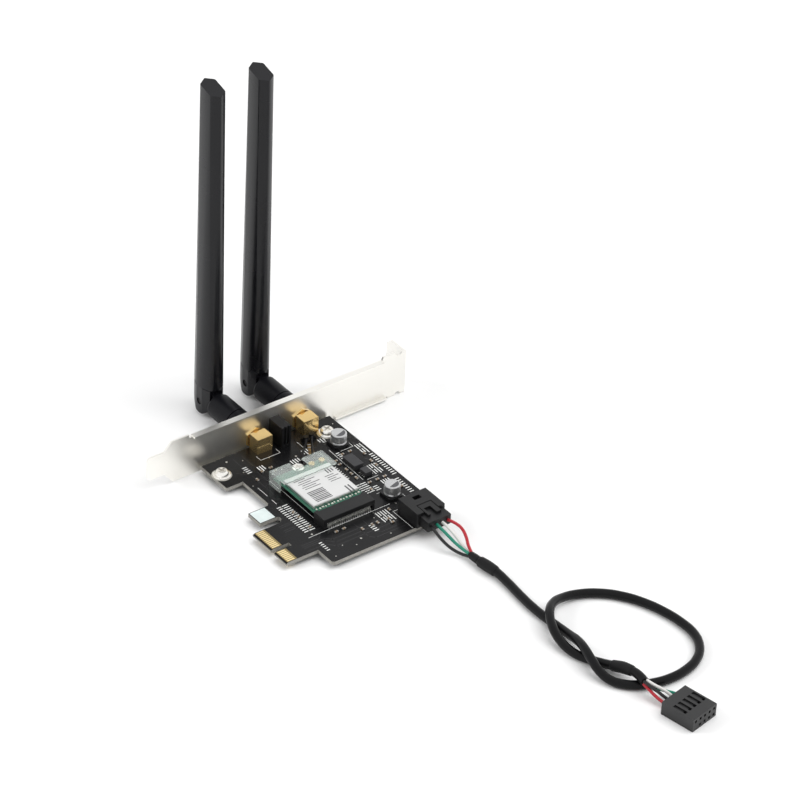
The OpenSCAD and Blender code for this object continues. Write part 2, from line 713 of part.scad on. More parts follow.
module socket_body_left() color("#d9ab4a") socket_body(socket_y);

module socket_body_right() color("#d9ab4a") socket_body(socket_right_y);

module socket_insulators() color("#f1efe8") in_frame() at_both_sockets() difference() {
    rod_x(barrel_end_x + 3.4, barrel_len - 1.4, insulator_d);
    rod_x(barrel_end_x, barrel_len + 4, contact_d);
}

module socket_centres() color("#d9ab4a") in_frame() at_both_sockets() difference() {
    rod_x(barrel_end_x + 2.6, barrel_len - 0.6, contact_d);
    rod_x(barrel_end_x, tip_reach + 0.4, tip_d + 2 * fit);
}

module lock_washers() color("#c8a04a") in_frame() at_both_sockets() difference() {
    rod_x(nut_x, washer_t, hex_af + 0.8);
    rod_x(nut_x - 1, washer_t + 2, barrel_d + 2 * fit);
}

module socket_nuts() color("#d9ab4a") in_frame() at_both_sockets() difference() {
    hex_x(nut_x - nut_t, nut_t, hex_af);
    rod_x(nut_x - nut_t - 1, nut_t + 2, barrel_d + 2 * fit);
}

module at_lamps() for (i = [0, 1])
    translate([0, holder_y + holder_w / 2, top_z + lamp_low + i * lamp_pitch]) children();

module light_holder() color("#161616") in_frame() difference() {
    block([fit, holder_y, top_z], [holder_len, holder_w, holder_h]);
    at_lamps() rod_x(-cut_over, cut_over + lamp_len + fit, lamp_d + 2 * fit);
    for (y = [1, holder_w - 1.9])
        block([holder_len - 0.5, holder_y + y, top_z + 1], [2, 0.9, holder_h]);
}

module lamps() color("#cfd8d0") in_frame() at_lamps() {
    rod_x(-sheet_t, sheet_t + lamp_len, lamp_d);
    translate([-sheet_t, 0, 0]) rotate([0, -90, 0]) rotate_extrude() intersection() {
        circle(d = lamp_d);
        square([lamp_d, lamp_d / 2 - 0.4]);
    }
}

// Hinge parts share this place: the antenna's own axis runs along X
module at_hinge(y) translate([-hinge_x, y, socket_z]) children();

module coupling_ring(y) color("#191919") in_frame() at_socket(y) difference() {
    rotate([0, -90, 0]) translate([0, 0, -ring_x]) rotate_extrude() polygon([
        [0, 0], [ring_d / 2 - 0.4, 0], [ring_d / 2, 0.4], [ring_d / 2, ring_len - 0.4],
        [ring_d / 2 - 0.4, ring_len], [0, ring_len]
    ]);
    rod_x(ring_end_x + ring_wall, ring_len, barrel_d + 2 * fit);
    rod_x(ring_end_x - 1, ring_len, stem_d + 2 * fit);
}

module coupling_ring_left() coupling_ring(socket_y);

module coupling_ring_right() coupling_ring(socket_right_y);

// Knuckle: round body with a flat tongue, a stem in the ring and a centre pin
module knuckle(y) color("#151515") in_frame() at_socket(y) difference() {
    union() {
        rotate([0, -90, 0]) translate([0, 0, -ring_end_x + fit]) rotate_extrude() polygon([
            [0, 0], [knuckle_d / 2, 0], [knuckle_d / 2, ring_end_x - shoulder_x - 1.6],
            [knuckle_d / 2 - 0.4, ring_end_x - shoulder_x - 0.8],
            [knuckle_d / 2 - 1.2, ring_end_x - shoulder_x - fit],
            [0, ring_end_x - shoulder_x - fit]
        ]);
        intersection() {
            union() {
                translate([-hinge_x, 0, 0]) rod_y(knuckle_t, 2 * knuckle_r);
                block([-hinge_x, -knuckle_t / 2, -knuckle_r],
                    [hinge_x + shoulder_x + 1, knuckle_t, 2 * knuckle_r]);
            }
            rod_x(-hinge_x - 2 * fork_r, hinge_x + shoulder_x + 4 * fork_r, 2 * fork_r);
        }
        rod_x(ring_end_x - fit - eps, ring_wall + collar_t + 2 * fit + eps, stem_d);
        rod_x(collar_x, collar_t, barrel_d - 0.5);
        rod_x(collar_x, barrel_end_x + tip_reach - collar_x, tip_d);
    }
    translate([-hinge_x, 0, 0]) rod_y(knuckle_t + 2, pin_d + 2 * fit);
}

module knuckle_left() knuckle(socket_y);

module knuckle_right() knuckle(socket_right_y);

module hinge_pin(y) color("#0d0d0d") in_frame() at_hinge(y) rod_y(fork_t - 2 * pin_recess, pin_d);

module hinge_pin_left() hinge_pin(socket_y);

module hinge_pin_right() hinge_pin(socket_right_y);

// Section of a blade at a share of its taper: a hexagon with its corners cut
function blade_share(h) = pow(max(0, 1 - (h - blade_full) / (blade_len - blade_full)), 1.25);
function blade_size(h, top, base) = (top + (base - top) * blade_share(h)) / 2;
function blade_cut(h) = blade_cut_top + (blade_cut_base - blade_cut_top) * blade_share(h);
function blade_hexagon(h) = let (
    w = blade_size(h, blade_w_top, blade_w_base),
    f = blade_size(h, flat_w_top, flat_w_base),
    t = blade_size(h, blade_t_top, blade_t_base)
) [[w, 0], [f, t], [-f, t], [-w, 0], [-f, -t], [f, -t]];
function blade_section(h, share = 1) = let (hex = blade_hexagon(h), cut = blade_cut(h)) [
    for (i = [0:5], side = [5, 1])
        share * (hex[i] + cut * (hex[(i + side) % 6] - hex[i]))
];
function blade_ring(h, slope = 0, share = 1) = [
    for (p = blade_section(h, share)) [p[0], p[1], h - slope * p[0]]
];

// Tapered blade body, from over the fork to its slanted top
module blade_body() {
    heights = [for (s = blade_turns) blade_full + s * (blade_len - blade_full)];
    rings = concat(
        [[for (p = blade_section(blade_full, 0.9)) [p[0], p[1], blade_start]]],
        [for (h = heights) if (h < blade_len) blade_ring(h)],
        [blade_ring(blade_len, top_slope, 1)]
    );
    n = 12;
    count = len(rings);
    skin = [
        for (i = [0:count - 2], k = [0:n - 1])
            each [[i * n + k, (i + 1) * n + k, (i + 1) * n + (k + 1) % n],
                [i * n + k, (i + 1) * n + (k + 1) % n, i * n + (k + 1) % n]]
    ];
    low = [for (k = [0:n - 1]) k];
    high = [for (k = [0:n - 1]) (count - 1) * n + n - 1 - k];
    polyhedron([for (r = rings) each r], concat([low, high], skin));
}

// Fork: round ends in the section of the blade above it
module blade_fork() intersection() {
    union() {
        rod_y(fork_t, 2 * fork_r);
        block([-fork_r, -fork_t / 2, 0], [2 * fork_r, fork_t, blade_start + 1]);
    }
    translate([0, 0, -fork_r - 1]) linear_extrude(height = 2 * blade_full + fork_r)
        polygon(blade_section(blade_full));
}

// Blade: fork below, tapered body above, and a bore for the rod inside
module blade(y) color("#171717") in_frame() at_hinge(y) difference() {
    union() {
        blade_body();
        blade_fork();
    }
    block([-fork_r - 1, -knuckle_t / 2 - fit, -fork_r - 1],
        [2 * fork_r + 2, knuckle_t + 2 * fit, fork_r + 1 + slot_top]);
    rod_y(fork_t + 2, pin_d + 2 * fit);
    translate([0, 0, slot_top - 1]) cylinder(h = rod_len + 2, d = rod_d + 2 * fit);
}

module blade_left() blade(socket_y);

module blade_right() blade(socket_right_y);

module radiator(y) color("#b87333") in_frame() at_hinge(y) translate([0, 0, slot_top + 1])
    cylinder(h = rod_len, d = rod_d);

module radiator_left() radiator(socket_y);

module radiator_right() radiator(socket_right_y);

module module_socket() color("#2b2c2e") in_frame() difference() {
    block([slot_body_x, module_low_y - slot_cheek, top_z],
        [slot_body_len, module_w + 2 * slot_cheek, slot_body_h]);
    block([slot_body_x - 1, module_low_y, module_z], [1 + seat_len, module_w, module_t]);
    block([slot_body_x - 1, module_low_y + 1.2, module_top_z - eps],
        [1.6, module_w - 2.4, 2]);
    block([slot_end_x - slot_under_len, module_low_y + slot_cheek, top_z - 1],
        [slot_under_len + 1, module_w - 2 * slot_cheek, 1 + slot_under_h]);
}

module module_socket_contacts() color("#c9cac8") in_frame() {
    count = floor((module_w - 2) / slot_pitch);
    for (i = [0:count - 1])
        block([slot_end_x - slot_under_len,
            module_y + (i - (count - 1) / 2) * slot_pitch - slot_foot_w / 2, top_z],
            [slot_under_len + slot_foot_w, slot_foot_w, 0.7 * slot_under_h]);
}

module module_board() color("#1f5a3c") in_frame() difference() {
    block([module_x, module_low_y, module_z], [module_len, module_w, module_t]);
    translate([module_x, module_y, module_z - 1]) cylinder(h = module_t + 2, r = notch_r);
}

module module_shield() color("#c4c6c4") in_frame()
    block([module_x + shield_inset, module_y - shield_w / 2, module_top_z],
        [shield_len, shield_w, shield_h]);

module module_label() color("#f4f4f2") in_frame()
    block([module_x + shield_inset + 0.3, module_y - shield_w / 2 + 0.3, shield_top_z],
        [shield_len - 0.6, shield_w - 0.6, label_t]);

module module_screw() color("#c9c9c6") in_frame() translate([module_x, module_y, module_top_z])
    difference() {
        union() {
            rotate_extrude() polygon([
                [0, 0], [module_screw_d / 2, 0], [module_screw_d / 2, 0.4],
                [module_screw_d / 2 - 0.5, 0.8], [0, 0.8]
            ]);
            translate([0, 0, -module_t - 1.6]) cylinder(h = module_t + 1.6 + eps, d = 2 * notch_r - 1.6);
        }
        for (turn = [0, 90]) rotate([0, 0, turn]) block([-1.1, -0.25, 0.35], [2.2, 0.5, 1]);
    }

module module_standoff() color("#c8a04a") in_frame() translate([module_x, module_y, top_z])
    difference() {
        cylinder(h = module_rise, d = standoff_d);
        translate([0, 0, module_rise - 2]) cylinder(h = 3, d = 2 * notch_r - 1.6 + 2 * fit);
    }

module coax_plugs() color("#d9ab4a") in_frame() for (edge = coax_edges)
    translate([module_x + coax_inset, module_y + module_w / 2 - edge, module_top_z])
        cylinder(h = coax_plug_h, d = coax_plug_d);

module clear_clip() color([0.85, 0.92, 0.88, 0.5]) in_frame() {
    x0 = module_x - clip_back;
    wall_y = module_w / 2 + clip_gap;
    difference() {
        union() {
            block([x0, module_y - wall_y - clip_t, clip_roof_z],
                [clip_len, 2 * (wall_y + clip_t), clip_t]);
            for (y = [-wall_y - clip_t, wall_y])
                block([x0, module_y + y, top_z], [clip_len - 3, clip_t, clip_roof_z - top_z + eps]);
        }
        block([x0 - 1, module_y - clip_notch_w / 2, clip_roof_z - 1],
            [clip_notch_len + 1, clip_notch_w, 3]);
    }
}

// Middle of one of the two coax plugs on the module
function coax_plug_at(i) =
    [module_x + coax_inset, module_y + module_w / 2 - coax_edges[i], module_top_z + coax_plug_h / 2];

module coax_lead(start, end, i)
    tube(concat(moved(start, coax_plug_at(i)), moved(end, receptacle_spots[i])), coax_d);

module coax_lead_left() color("#101010") in_frame() coax_lead(coax_left_start, coax_left_end, 0);

module coax_lead_right() color("#101010") in_frame() coax_lead(coax_right_start, coax_right_end, 1);

// Receptacles on the main board, each with its round plug on
module coax_receptacles() color("#d9ab4a") in_frame() for (p = receptacle_spots)
    translate(p) {
        block([-receptacle_w / 2, -receptacle_w / 2, 0], [receptacle_w, receptacle_w, receptacle_h]);
        cylinder(h = receptacle_h + 1, d = coax_plug_d - 0.2);
    }

// Can of an electrolytic capacitor, with its rolled groove
module capacitor_can(at) color("#c9ccce") in_frame()
    translate([at[0], at[1], top_z + can_base_h]) rotate_extrude() polygon([
        [0, 0], [can_d / 2 - 0.25, 0], [can_d / 2, 0.3], [can_d / 2, 0.7],
        [can_d / 2 - 0.25, 1], [can_d / 2, 1.3],
        [can_d / 2, can_h - can_base_h - 0.4], [can_d / 2 - 0.4, can_h - can_base_h],
        [can_d / 2 - 0.7, can_h - can_base_h], [can_d / 2 - 0.8, can_h - can_base_h - 0.15],
        [0, can_h - can_base_h - 0.15]
    ]);

module capacitor_can_near() capacitor_can(near_can);

module capacitor_can_far() capacitor_can(far_can);

module capacitor_bases() color("#1a1a1a") in_frame() for (at = [near_can, far_can])
    translate([at[0], at[1], top_z]) linear_extrude(can_base_h) polygon([
        [-can_base_w / 2, -can_base_w / 2], [can_base_w / 2 - 1, -can_base_w / 2],
        [can_base_w / 2, -can_base_w / 2 + 1], [can_base_w / 2, can_base_w / 2 - 1],
        [can_base_w / 2 - 1, can_base_w / 2], [-can_base_w / 2, can_base_w / 2]
    ]);

module chip(at, size) color("#1b1b1c") in_frame()
    block([at[0] - size[0] / 2, at[1] - size[1] / 2, top_z], size);

module regulator_chip() chip(chip_a, chip_a_size);

module power_chip() chip(chip_b, chip_b_size);

module small_parts() color("#8d8068") in_frame() for (s = small_spots)
    translate([s[0], s[1], top_z]) rotate([0, 0, 90 * s[2]])
        block([-small_len / 2, -small_w / 2, 0], [small_len, small_w, small_h]);

module pin_header() color("#18191a") in_frame() difference() {
    block([header_x, header_y, top_z], [header_len, header_w, header_h]);
    block([cavity_x, header_y + header_wall, top_z + header_wall],
        [header_len, header_w - 2 * header_wall, header_h - 2 * header_wall]);
    block([header_x + window_back, header_mid_y - window_w / 2, top_z + header_h - 2 * header_wall],
        [window_len, window_w, 3 * header_wall]);
    block([header_front_x - latch_len, header_mid_y - latch_w / 2, top_z + header_h - header_wall - eps],
        [latch_len + 1, latch_w, 2 * header_wall]);
    pin_spots() block([header_x + 1 - fit, -pin_w / 2 - fit, top_z - 1],
        [header_len, pin_w + 2 * fit, 1 + contact_z - top_z + pin_w / 2 + fit]);
}

// Square pins, bent down through the board
module header_pins() color("#d8b25a") in_frame() pin_spots() {
    block([header_x + 1, -pin_w / 2, contact_z - pin_w / 2],
        [header_len - 4, pin_w, pin_w]);
    block([header_x + 1, -pin_w / 2, board_z - tail_len],
        [pin_w, pin_w, contact_z - board_z + tail_len]);
}

module cable_plug() color("#141414") in_frame() difference() {
    union() {
        block([cavity_x + 0.4, header_mid_y - plug_w / 2, plug_low_z],
            [plug_end_x - cavity_x - 0.4, plug_w, plug_h]);
        block([header_front_x - latch_len + latch_gap, header_mid_y - latch_w / 2 + latch_gap,
            plug_low_z + plug_h - eps], [latch_len / 2, latch_w - 2 * latch_gap, latch_h + eps]);
        block([header_front_x - latch_len / 2, header_mid_y + latch_w / 2 - latch_gap - prong_w,
            plug_low_z + plug_h - eps], [latch_len / 2 + prong_len, prong_w, latch_h + eps]);
        block([header_front_x - latch_len / 2, header_mid_y - latch_w / 2 + latch_gap,
            plug_low_z + plug_h - eps], [latch_len / 2 + prong_len, prong_w / 2, latch_h + eps]);
    }
    pin_spots() translate([0, -0.65, contact_z - 0.65]) block([cavity_x, 0, 0],
        [plug_end_x - cavity_x - 1.4, 1.3, 1.3]);
    pin_spots() translate([0, 0, contact_z]) rod_x(plug_end_x - 2, 3, wire_d + 2 * fit);
}

// Spring contacts in the plug, round the header's pins
module plug_contacts() color("#d8b25a") in_frame() pin_spots() difference() {
    block([cavity_x + 1, -0.6, contact_z - 0.6], [plug_end_x - cavity_x - 3.4, 1.2, 1.2]);
    block([cavity_x - 1, -pin_w / 2 - fit, contact_z - pin_w / 2 - fit],
        [header_len - header_back - 1, pin_w + 2 * fit, pin_w + 2 * fit]);
}

// Wires at the plug start inside it, on their contacts
module plug_wire(i)
    tube(moved(concat([[-2.2, plug_wire_routes[i][0][1], 0]], plug_wire_routes[i]),
        [plug_end_x, header_mid_y, contact_z]), wire_d);

module plug_wire_black() color("#151515") in_frame() plug_wire(0);

module plug_wire_green() color("#1c8a5a") in_frame() plug_wire(1);

module plug_wire_white() color("#eeeeec") in_frame() plug_wire(2);

module plug_wire_red() color("#b3202a") in_frame() plug_wire(3);

module neck_sleeve() color("#0f0f10") in_frame() tube(neck_route, neck_sleeve_d, 10);

module near_sleeve() color("#111112") in_frame() tube(near_sleeve_route, sleeve_d, 12);

module cable() color("#141415") in_frame() {
    tube(cable_route, cable_d);
    tube(cable_end_route, cable_d);
}

module far_sleeve() color("#111112") in_frame() tube(far_sleeve_route, sleeve_d, 12);

module end_wire_red() color("#b3202a") in_frame() tube(end_wire_routes[0], wire_d);

module end_wire_white() color("#eeeeec") in_frame() tube(end_wire_routes[1], wire_d);

module end_wire_black() color("#151515") in_frame() tube(end_wire_routes[2], wire_d);

module end_wire_green() color("#1c8a5a") in_frame() tube(end_wire_routes[3], wire_d);

// Places of the end connector's holes: five across and two up
module end_holes() for (row = [0, 1], i = [0:4])
    if (row == 1 || i > 0)
        translate([0, (i - 2) * pin_pitch, end_h / 2 + (row - 0.5) * pin_pitch]) children();

module at_end() translate([end_at[0], end_at[1], 0]) rotate([0, 0, end_turn]) children();

module end_connector() color("#161616") in_frame() at_end() difference() {
    block([-end_len / 2, -end_w / 2, 0], [end_len, end_w, end_h]);
    end_holes() block([-end_len / 2 - 1, -end_hole_w / 2 - 0.2, -end_hole_w / 2 - 0.2],
        [end_len - 1, end_hole_w + 0.4, end_hole_w + 0.4]);
    end_holes() block([0, -end_hole_w / 2, -end_hole_w / 2], [end_len, end_hole_w, end_hole_w]);
    for (i = [-2:2]) {
        block([-end_slot_len / 2, i * pin_pitch - end_slot_w / 2, end_h - end_slot_d],
            [end_slot_len, end_slot_w, 2]);
        block([end_slot_len / 2 - end_slot_w, i * pin_pitch - end_slot_w / 2,
            end_h - 2.4 * end_slot_d], [end_slot_w, end_slot_w, 3]);
    }
}

module end_contacts() color("#d8b25a") in_frame() at_end() for (i = [-1:2])
    translate([0, i * pin_pitch, end_h / 2 - pin_pitch / 2]) difference() {
        block([-end_len / 2 + 3, -0.7, -0.7], [end_len - 5.4, 1.4, 1.4]);
        block([-end_len / 2, -0.4, -0.4], [end_len, 0.8, 0.8]);
    }

board();
edge_contacts();
bracket();
bracket_screws();
socket_body_left();
socket_body_right();
socket_insulators();
socket_centres();
lock_washers();
socket_nuts();
light_holder();
lamps();
module_socket();
module_socket_contacts();
module_board();
module_shield();
module_label();
module_screw();
module_standoff();
coax_plugs();
clear_clip();
coax_lead_left();
coax_lead_right();
coax_receptacles();
capacitor_can_near();
capacitor_can_far();
capacitor_bases();
regulator_chip();
power_chip();
small_parts();
pin_header();
header_pins();
cable_plug();
plug_contacts();
plug_wire_black();
plug_wire_green();
plug_wire_white();
plug_wire_red();
neck_sleeve();
near_sleeve();
cable();
far_sleeve();
end_wire_red();
end_wire_white();
end_wire_black();
end_wire_green();
end_connector();
end_contacts();
coupling_ring_left();
coupling_ring_right();
knuckle_left();
knuckle_right();
hinge_pin_left();
hinge_pin_right();
blade_left();
blade_right();
radiator_left();
radiator_right();
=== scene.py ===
"""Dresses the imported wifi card: finishes, rounded edges, the lead and a plain studio.

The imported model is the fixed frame. Every new piece is made in metres, in that frame, from
sizes that are named below or read from the CAD nodes.
"""

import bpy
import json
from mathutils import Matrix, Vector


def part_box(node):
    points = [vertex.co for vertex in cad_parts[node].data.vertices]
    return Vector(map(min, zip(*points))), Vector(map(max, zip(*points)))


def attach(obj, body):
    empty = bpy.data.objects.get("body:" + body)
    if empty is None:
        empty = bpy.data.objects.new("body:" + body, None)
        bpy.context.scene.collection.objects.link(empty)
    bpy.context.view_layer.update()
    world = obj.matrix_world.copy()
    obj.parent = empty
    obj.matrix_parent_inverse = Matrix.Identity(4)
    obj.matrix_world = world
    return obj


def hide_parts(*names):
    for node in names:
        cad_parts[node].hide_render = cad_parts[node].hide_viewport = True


bl_info = {
    "name": "Wifi Card Looks",
    "version": (1, 0, 0),
    "blender": (4, 5, 0),
    "location": "View3D > Sidebar > Wifi Card",
    "description": "Dresses the packed wifi card with finishes, a lead and a plain studio",
    "category": "Object",
}

import json
import math

import bmesh
import bpy
from bpy.props import FloatProperty, FloatVectorProperty, IntProperty, PointerProperty
from mathutils import Matrix, Vector

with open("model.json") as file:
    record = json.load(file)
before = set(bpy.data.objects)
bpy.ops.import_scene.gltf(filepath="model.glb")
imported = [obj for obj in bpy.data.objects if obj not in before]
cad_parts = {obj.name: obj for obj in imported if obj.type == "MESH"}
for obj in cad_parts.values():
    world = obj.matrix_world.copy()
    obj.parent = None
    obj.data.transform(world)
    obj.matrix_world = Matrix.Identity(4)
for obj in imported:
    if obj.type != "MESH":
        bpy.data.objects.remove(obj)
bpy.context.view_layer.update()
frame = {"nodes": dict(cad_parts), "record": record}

# Routes, tables and heights are in millimetres in the card frame, which starts at the bracket's
# inner face and the tip of its tongue. Print stands a little over the board's top.
MM = 0.001
CARD_SHIFT = Vector((-20.079, -60.01, 0))
BOARD_TOP = 3.4
PRINT_HEIGHT = 0.03
PRINT_INSET = 0.01
SOCKET_Y = {"left": 48.8, "right": 70.3}
SOCKET_Z = 6.7


def card(x, y, z=BOARD_TOP):
    """A point of the card frame in the row frame, in metres."""
    return (Vector((x, y, z)) + CARD_SHIFT) * MM


# The round cable: the points of the CAD route, through both sleeves.
CABLE_ROUTE = [
    (104.5, 75.6, 2.4), (108.5, 76.3, 2.3), (113, 76.9, 2.2), (120, 76.8, 1.8), (128, 76, 1.7),
    (136, 75.4, 1.7), (144, 75.5, 1.7), (151, 75.8, 1.9), (157, 75.5, 2.8), (163, 74.4, 4.5),
    (168.5, 72.9, 5.3), (174, 71.6, 4.6), (179, 71.2, 3), (184, 72.2, 1.8), (188.4, 74.9, 1.7),
    (191.6, 79, 1.7), (193.8, 84.4, 1.7), (195, 91, 1.7), (194.6, 98, 1.7), (192, 105.4, 1.7),
    (187, 111, 1.7), (180.4, 114, 1.7), (172.6, 114.4, 1.7), (164.6, 113.2, 1.7),
    (156.6, 110.6, 1.7), (149.4, 106.6, 1.7), (143.4, 101, 1.7), (139.6, 94.4, 1.8),
    (138.8, 87.4, 2.7), (141, 80.6, 4.4), (145.6, 75.4, 5.3), (151.4, 72, 4.6), (157.6, 70.6, 3),
    (164, 71, 1.8), (169.8, 73, 1.7), (174.6, 75.4, 1.9), (178.6, 77.2, 2.6), (183, 78.6, 3.9),
    (187.6, 79.3, 5), (191, 79.3, 5.3), (194.4, 79, 5),
]
NECK_ROUTE = [(99.6, 75.2, 2.4), (102, 75.4, 2.4), (104.5, 75.6, 2.4)]
NEAR_SLEEVE_ROUTE = CABLE_ROUTE[:3]
FAR_SLEEVE_ROUTE = CABLE_ROUTE[-5:-2]
# The lead's wires by colour: finish, route measured from the middle of the plug's face, and route
# from the cable's end into the housing.
PLUG_FACE = (82.5, 73.85, 6.65)
WIRES = {
    "black": (
        (0.005, 0.005, 0.0055),
        [(0, -3.81, 0), (3, -4.1, -0.5), (6.5, -3.6, -2.2), (10, -2.2, -4.2), (13.5, -0.5, -5.2),
         (17, 0.75, -4.85)],
        [(194.6, 78.4, 5.6), (197.6, 78.9, 5.1), (200.6, 80.2, 3.9), (203, 81.6, 2.4),
         (204.6, 82.5, 1.5), (206.9, 83.1, 1.43)]),
    "green": (
        (0.012, 0.2, 0.13),
        [(0, -1.27, 0), (3, -1.3, -0.3), (6.5, -0.9, -1.3), (10, -0.2, -2.7), (13.5, 0.5, -3.6),
         (17, 0.75, -3.65)],
        [(194.6, 79.6, 4.4), (197.6, 80.6, 3.9), (200.2, 83.4, 2.9), (202, 86, 1.9),
         (203.6, 87.4, 1.45), (205.9, 88.1, 1.43)]),
    "white": (
        (0.7, 0.69, 0.67),
        [(0, 1.27, 0), (3, 1.6, -0.5), (6.5, 2, -1.9), (10, 2.3, -3.7), (13.5, 2.2, -4.8),
         (17, 1.95, -4.85)],
        [(194.6, 79.6, 5.6), (197.6, 80.4, 5.2), (200.4, 82.4, 4), (202.6, 84, 2.5),
         (204.1, 84.9, 1.5), (206.4, 85.6, 1.43)]),
    "red": (
        (0.4, 0.014, 0.025),
        [(0, 3.81, 0), (3, 4.7, 0.1), (6.5, 5.3, -0.5), (10, 4.7, -1.8), (13.5, 3.2, -3.1),
         (17, 1.95, -3.65)],
        [(194.6, 78.4, 4.4), (197.6, 78.4, 3.9), (200.6, 78.8, 2.9), (203.2, 79.6, 1.9),
         (205, 80.2, 1.45), (207.4, 80.7, 1.43)]),
}
# Coax leads from the radio module to their receptacles behind the right socket.
COAX_ROUTES = {
    "left": [(26.7, 55.1, 7.7), (24.2, 55, 7.6), (22.2, 55.4, 6.6), (20.6, 56.2, 5),
             (18.8, 57.4, 4), (16.6, 59.2, 3.9), (14.6, 61, 3.9), (13, 62.8, 4),
             (11.8, 64.2, 4.6), (10.6, 65.2, 5.1)],
    "right": [(26.7, 59.6, 7.7), (24.2, 60, 7.6), (22.2, 60.6, 6.6), (20.4, 61.4, 5),
              (18.4, 62.6, 4), (16.2, 64, 3.9), (14.2, 65.4, 3.9), (12.6, 66.4, 4),
              (11.4, 67.2, 4.6), (10.3, 68, 5.1)],
}
# White printed lines on the board, as corner points, without any lettering.
PRINTED_LINES = [
    [(22.4, 40), (51.6, 39.8)], [(59.5, 31.2), (59.3, 68.4)], [(19.2, 69.7), (41.4, 69.2)],
    [(7.4, 44.4), (10.2, 44.4), (10.2, 53.4), (7.4, 53.4)],
    [(7.4, 65.4), (10.2, 65.4)], [(8.2, 62.6), (13.4, 62.6)],
    [(14, 70.8), (14, 78.8), (22.2, 78.8), (22.2, 73)],
    [(51.6, 68.2), (51.6, 76.2), (58.6, 76.2)], [(42.4, 70.6), (42.4, 75.6)],
    [(64.4, 66.6), (76, 66.6)], [(64.4, 81), (76, 81)], [(63.8, 66.6), (63.8, 78)],
    [(24, 33.4), (30, 33.4)], [(33, 33.4), (36, 33.4)],
]
# Fields of short parallel bars: corner x and y, count along x and y, and step along x and y. The
# bars lie along the longer step.
PRINTED_FIELDS = [
    (38.4, 32, 15, 2, 1.25, 2.3), (61.2, 60.4, 2, 5, 3.4, 1.1), (43.4, 64.4, 6, 2, 1.2, 2.2),
    (22, 79.6, 2, 3, 3.4, 1.1), (30, 80.8, 12, 1, 1.35, 1.7), (48, 79.4, 8, 1, 1.35, 1.7),
    (35.4, 75.6, 2, 4, 3.2, 1.1), (45.8, 74.4, 1, 4, 3, 1.05), (10.8, 35.6, 4, 1, 1.2, 1.6),
    (13.2, 40.6, 1, 3, 3, 1.1), (13.8, 60.6, 1, 3, 3, 1.1), (11.4, 70, 1, 3, 2.2, 1.1),
    (64.4, 32.4, 5, 1, 1.25, 1.6), (16.8, 53.4, 1, 4, 2.6, 1.1), (66, 54, 4, 1, 1.2, 1.6),
    (22.6, 70.6, 5, 1, 1.2, 1.8), (29.4, 64, 8, 1, 1.2, 1.5), (47.4, 69.6, 3, 1, 1.2, 1.9),
]
# Copper runs under the solder mask, as corner points.
COPPER_RUNS = [
    [(48, 26), (48, 33), (52, 37), (52, 40)], [(49, 26), (49, 32.4), (53.4, 36.8), (53.4, 40)],
    [(51, 26), (51, 31.6), (55, 35.6), (55, 40)], [(52, 26), (52, 31), (57, 36), (57, 46)],
    [(62, 26), (62, 34), (59.6, 36.4), (59.6, 48)], [(63, 26), (63, 36), (65, 38), (65, 60)],
    [(64, 26), (64, 35), (67, 38), (67, 64)], [(66, 26), (66, 34), (69, 37), (69, 66)],
    [(14, 50), (20, 50), (22, 48), (22, 42)], [(14, 61), (18, 65), (30, 65)],
    [(62, 50), (71, 50), (73, 52), (73, 66)], [(62, 54), (70, 54), (71.4, 55.4), (71.4, 66)],
    [(31, 78), (36, 81), (52, 81)], [(20, 80), (28, 82), (44, 82)], [(12, 32), (16, 36), (34, 36)],
    [(4, 36), (12, 36), (15, 39), (23, 39)], [(4, 40), (12, 40), (14, 42), (20, 42)],
]
# Small round vias. Every fifth is a wider test point.
VIAS = [
    (4, 33), (6.6, 38.6), (13, 34.6), (19.6, 47.4), (21, 52.6), (15.4, 57), (12.2, 79), (6, 81),
    (26, 64.2), (33, 64.4), (38, 64.4), (45, 80.4), (48.6, 74.6), (60.4, 60), (63, 58.4),
    (70.4, 47), (72.6, 43.4), (70, 38.8), (74, 58), (74, 76.8), (58.4, 33.4), (39, 33.2),
    (30.4, 70.4), (34.4, 70.6), (22, 32.6), (60.2, 70.6), (62.4, 74), (74, 33), (10.6, 48),
]
# Short grey bars on the label, in place of print: x, y, length along the card, width.
LABEL_BARS = [
    (33, 43, 0.35, 6.6), (34.2, 42.2, 0.35, 5), (35.4, 43.4, 0.35, 7.4), (36.6, 42.6, 0.35, 5.8),
    (37.8, 43.6, 0.35, 7.8), (39, 42.8, 0.35, 6.2), (40.2, 43.2, 0.35, 7), (34, 56.4, 2.6, 0.5),
    (34, 57.6, 2.6, 0.5), (34.4, 58.8, 1.8, 0.5), (46.4, 56.6, 4.4, 0.6), (46.4, 58, 4.4, 0.6),
    (42.4, 42.4, 0.5, 7.2), (43.3, 42.4, 0.4, 7.2), (44.1, 42.4, 0.6, 7.2), (45.1, 42.4, 0.4, 7.2),
    (46, 42.4, 0.5, 7.2), (46.9, 42.4, 0.4, 7.2), (47.7, 42.4, 0.6, 7.2), (48.7, 42.4, 0.4, 7.2),
    (37.6, 54, 0.35, 4), (38.8, 54.4, 0.35, 5), (40, 54, 0.35, 3.6), (41.2, 54.2, 0.35, 4.6),
]


# --- Values that a user may change

# Settings that properties of one kind share.
COLOUR = {"subtype": "COLOR", "size": 4, "min": 0, "max": 1}
LENGTH = {"unit": "LENGTH", "subtype": "DISTANCE"}
ANGLE = {"unit": "ROTATION", "subtype": "ANGLE"}
POWER = {"unit": "POWER", "min": 0, "max": 200}


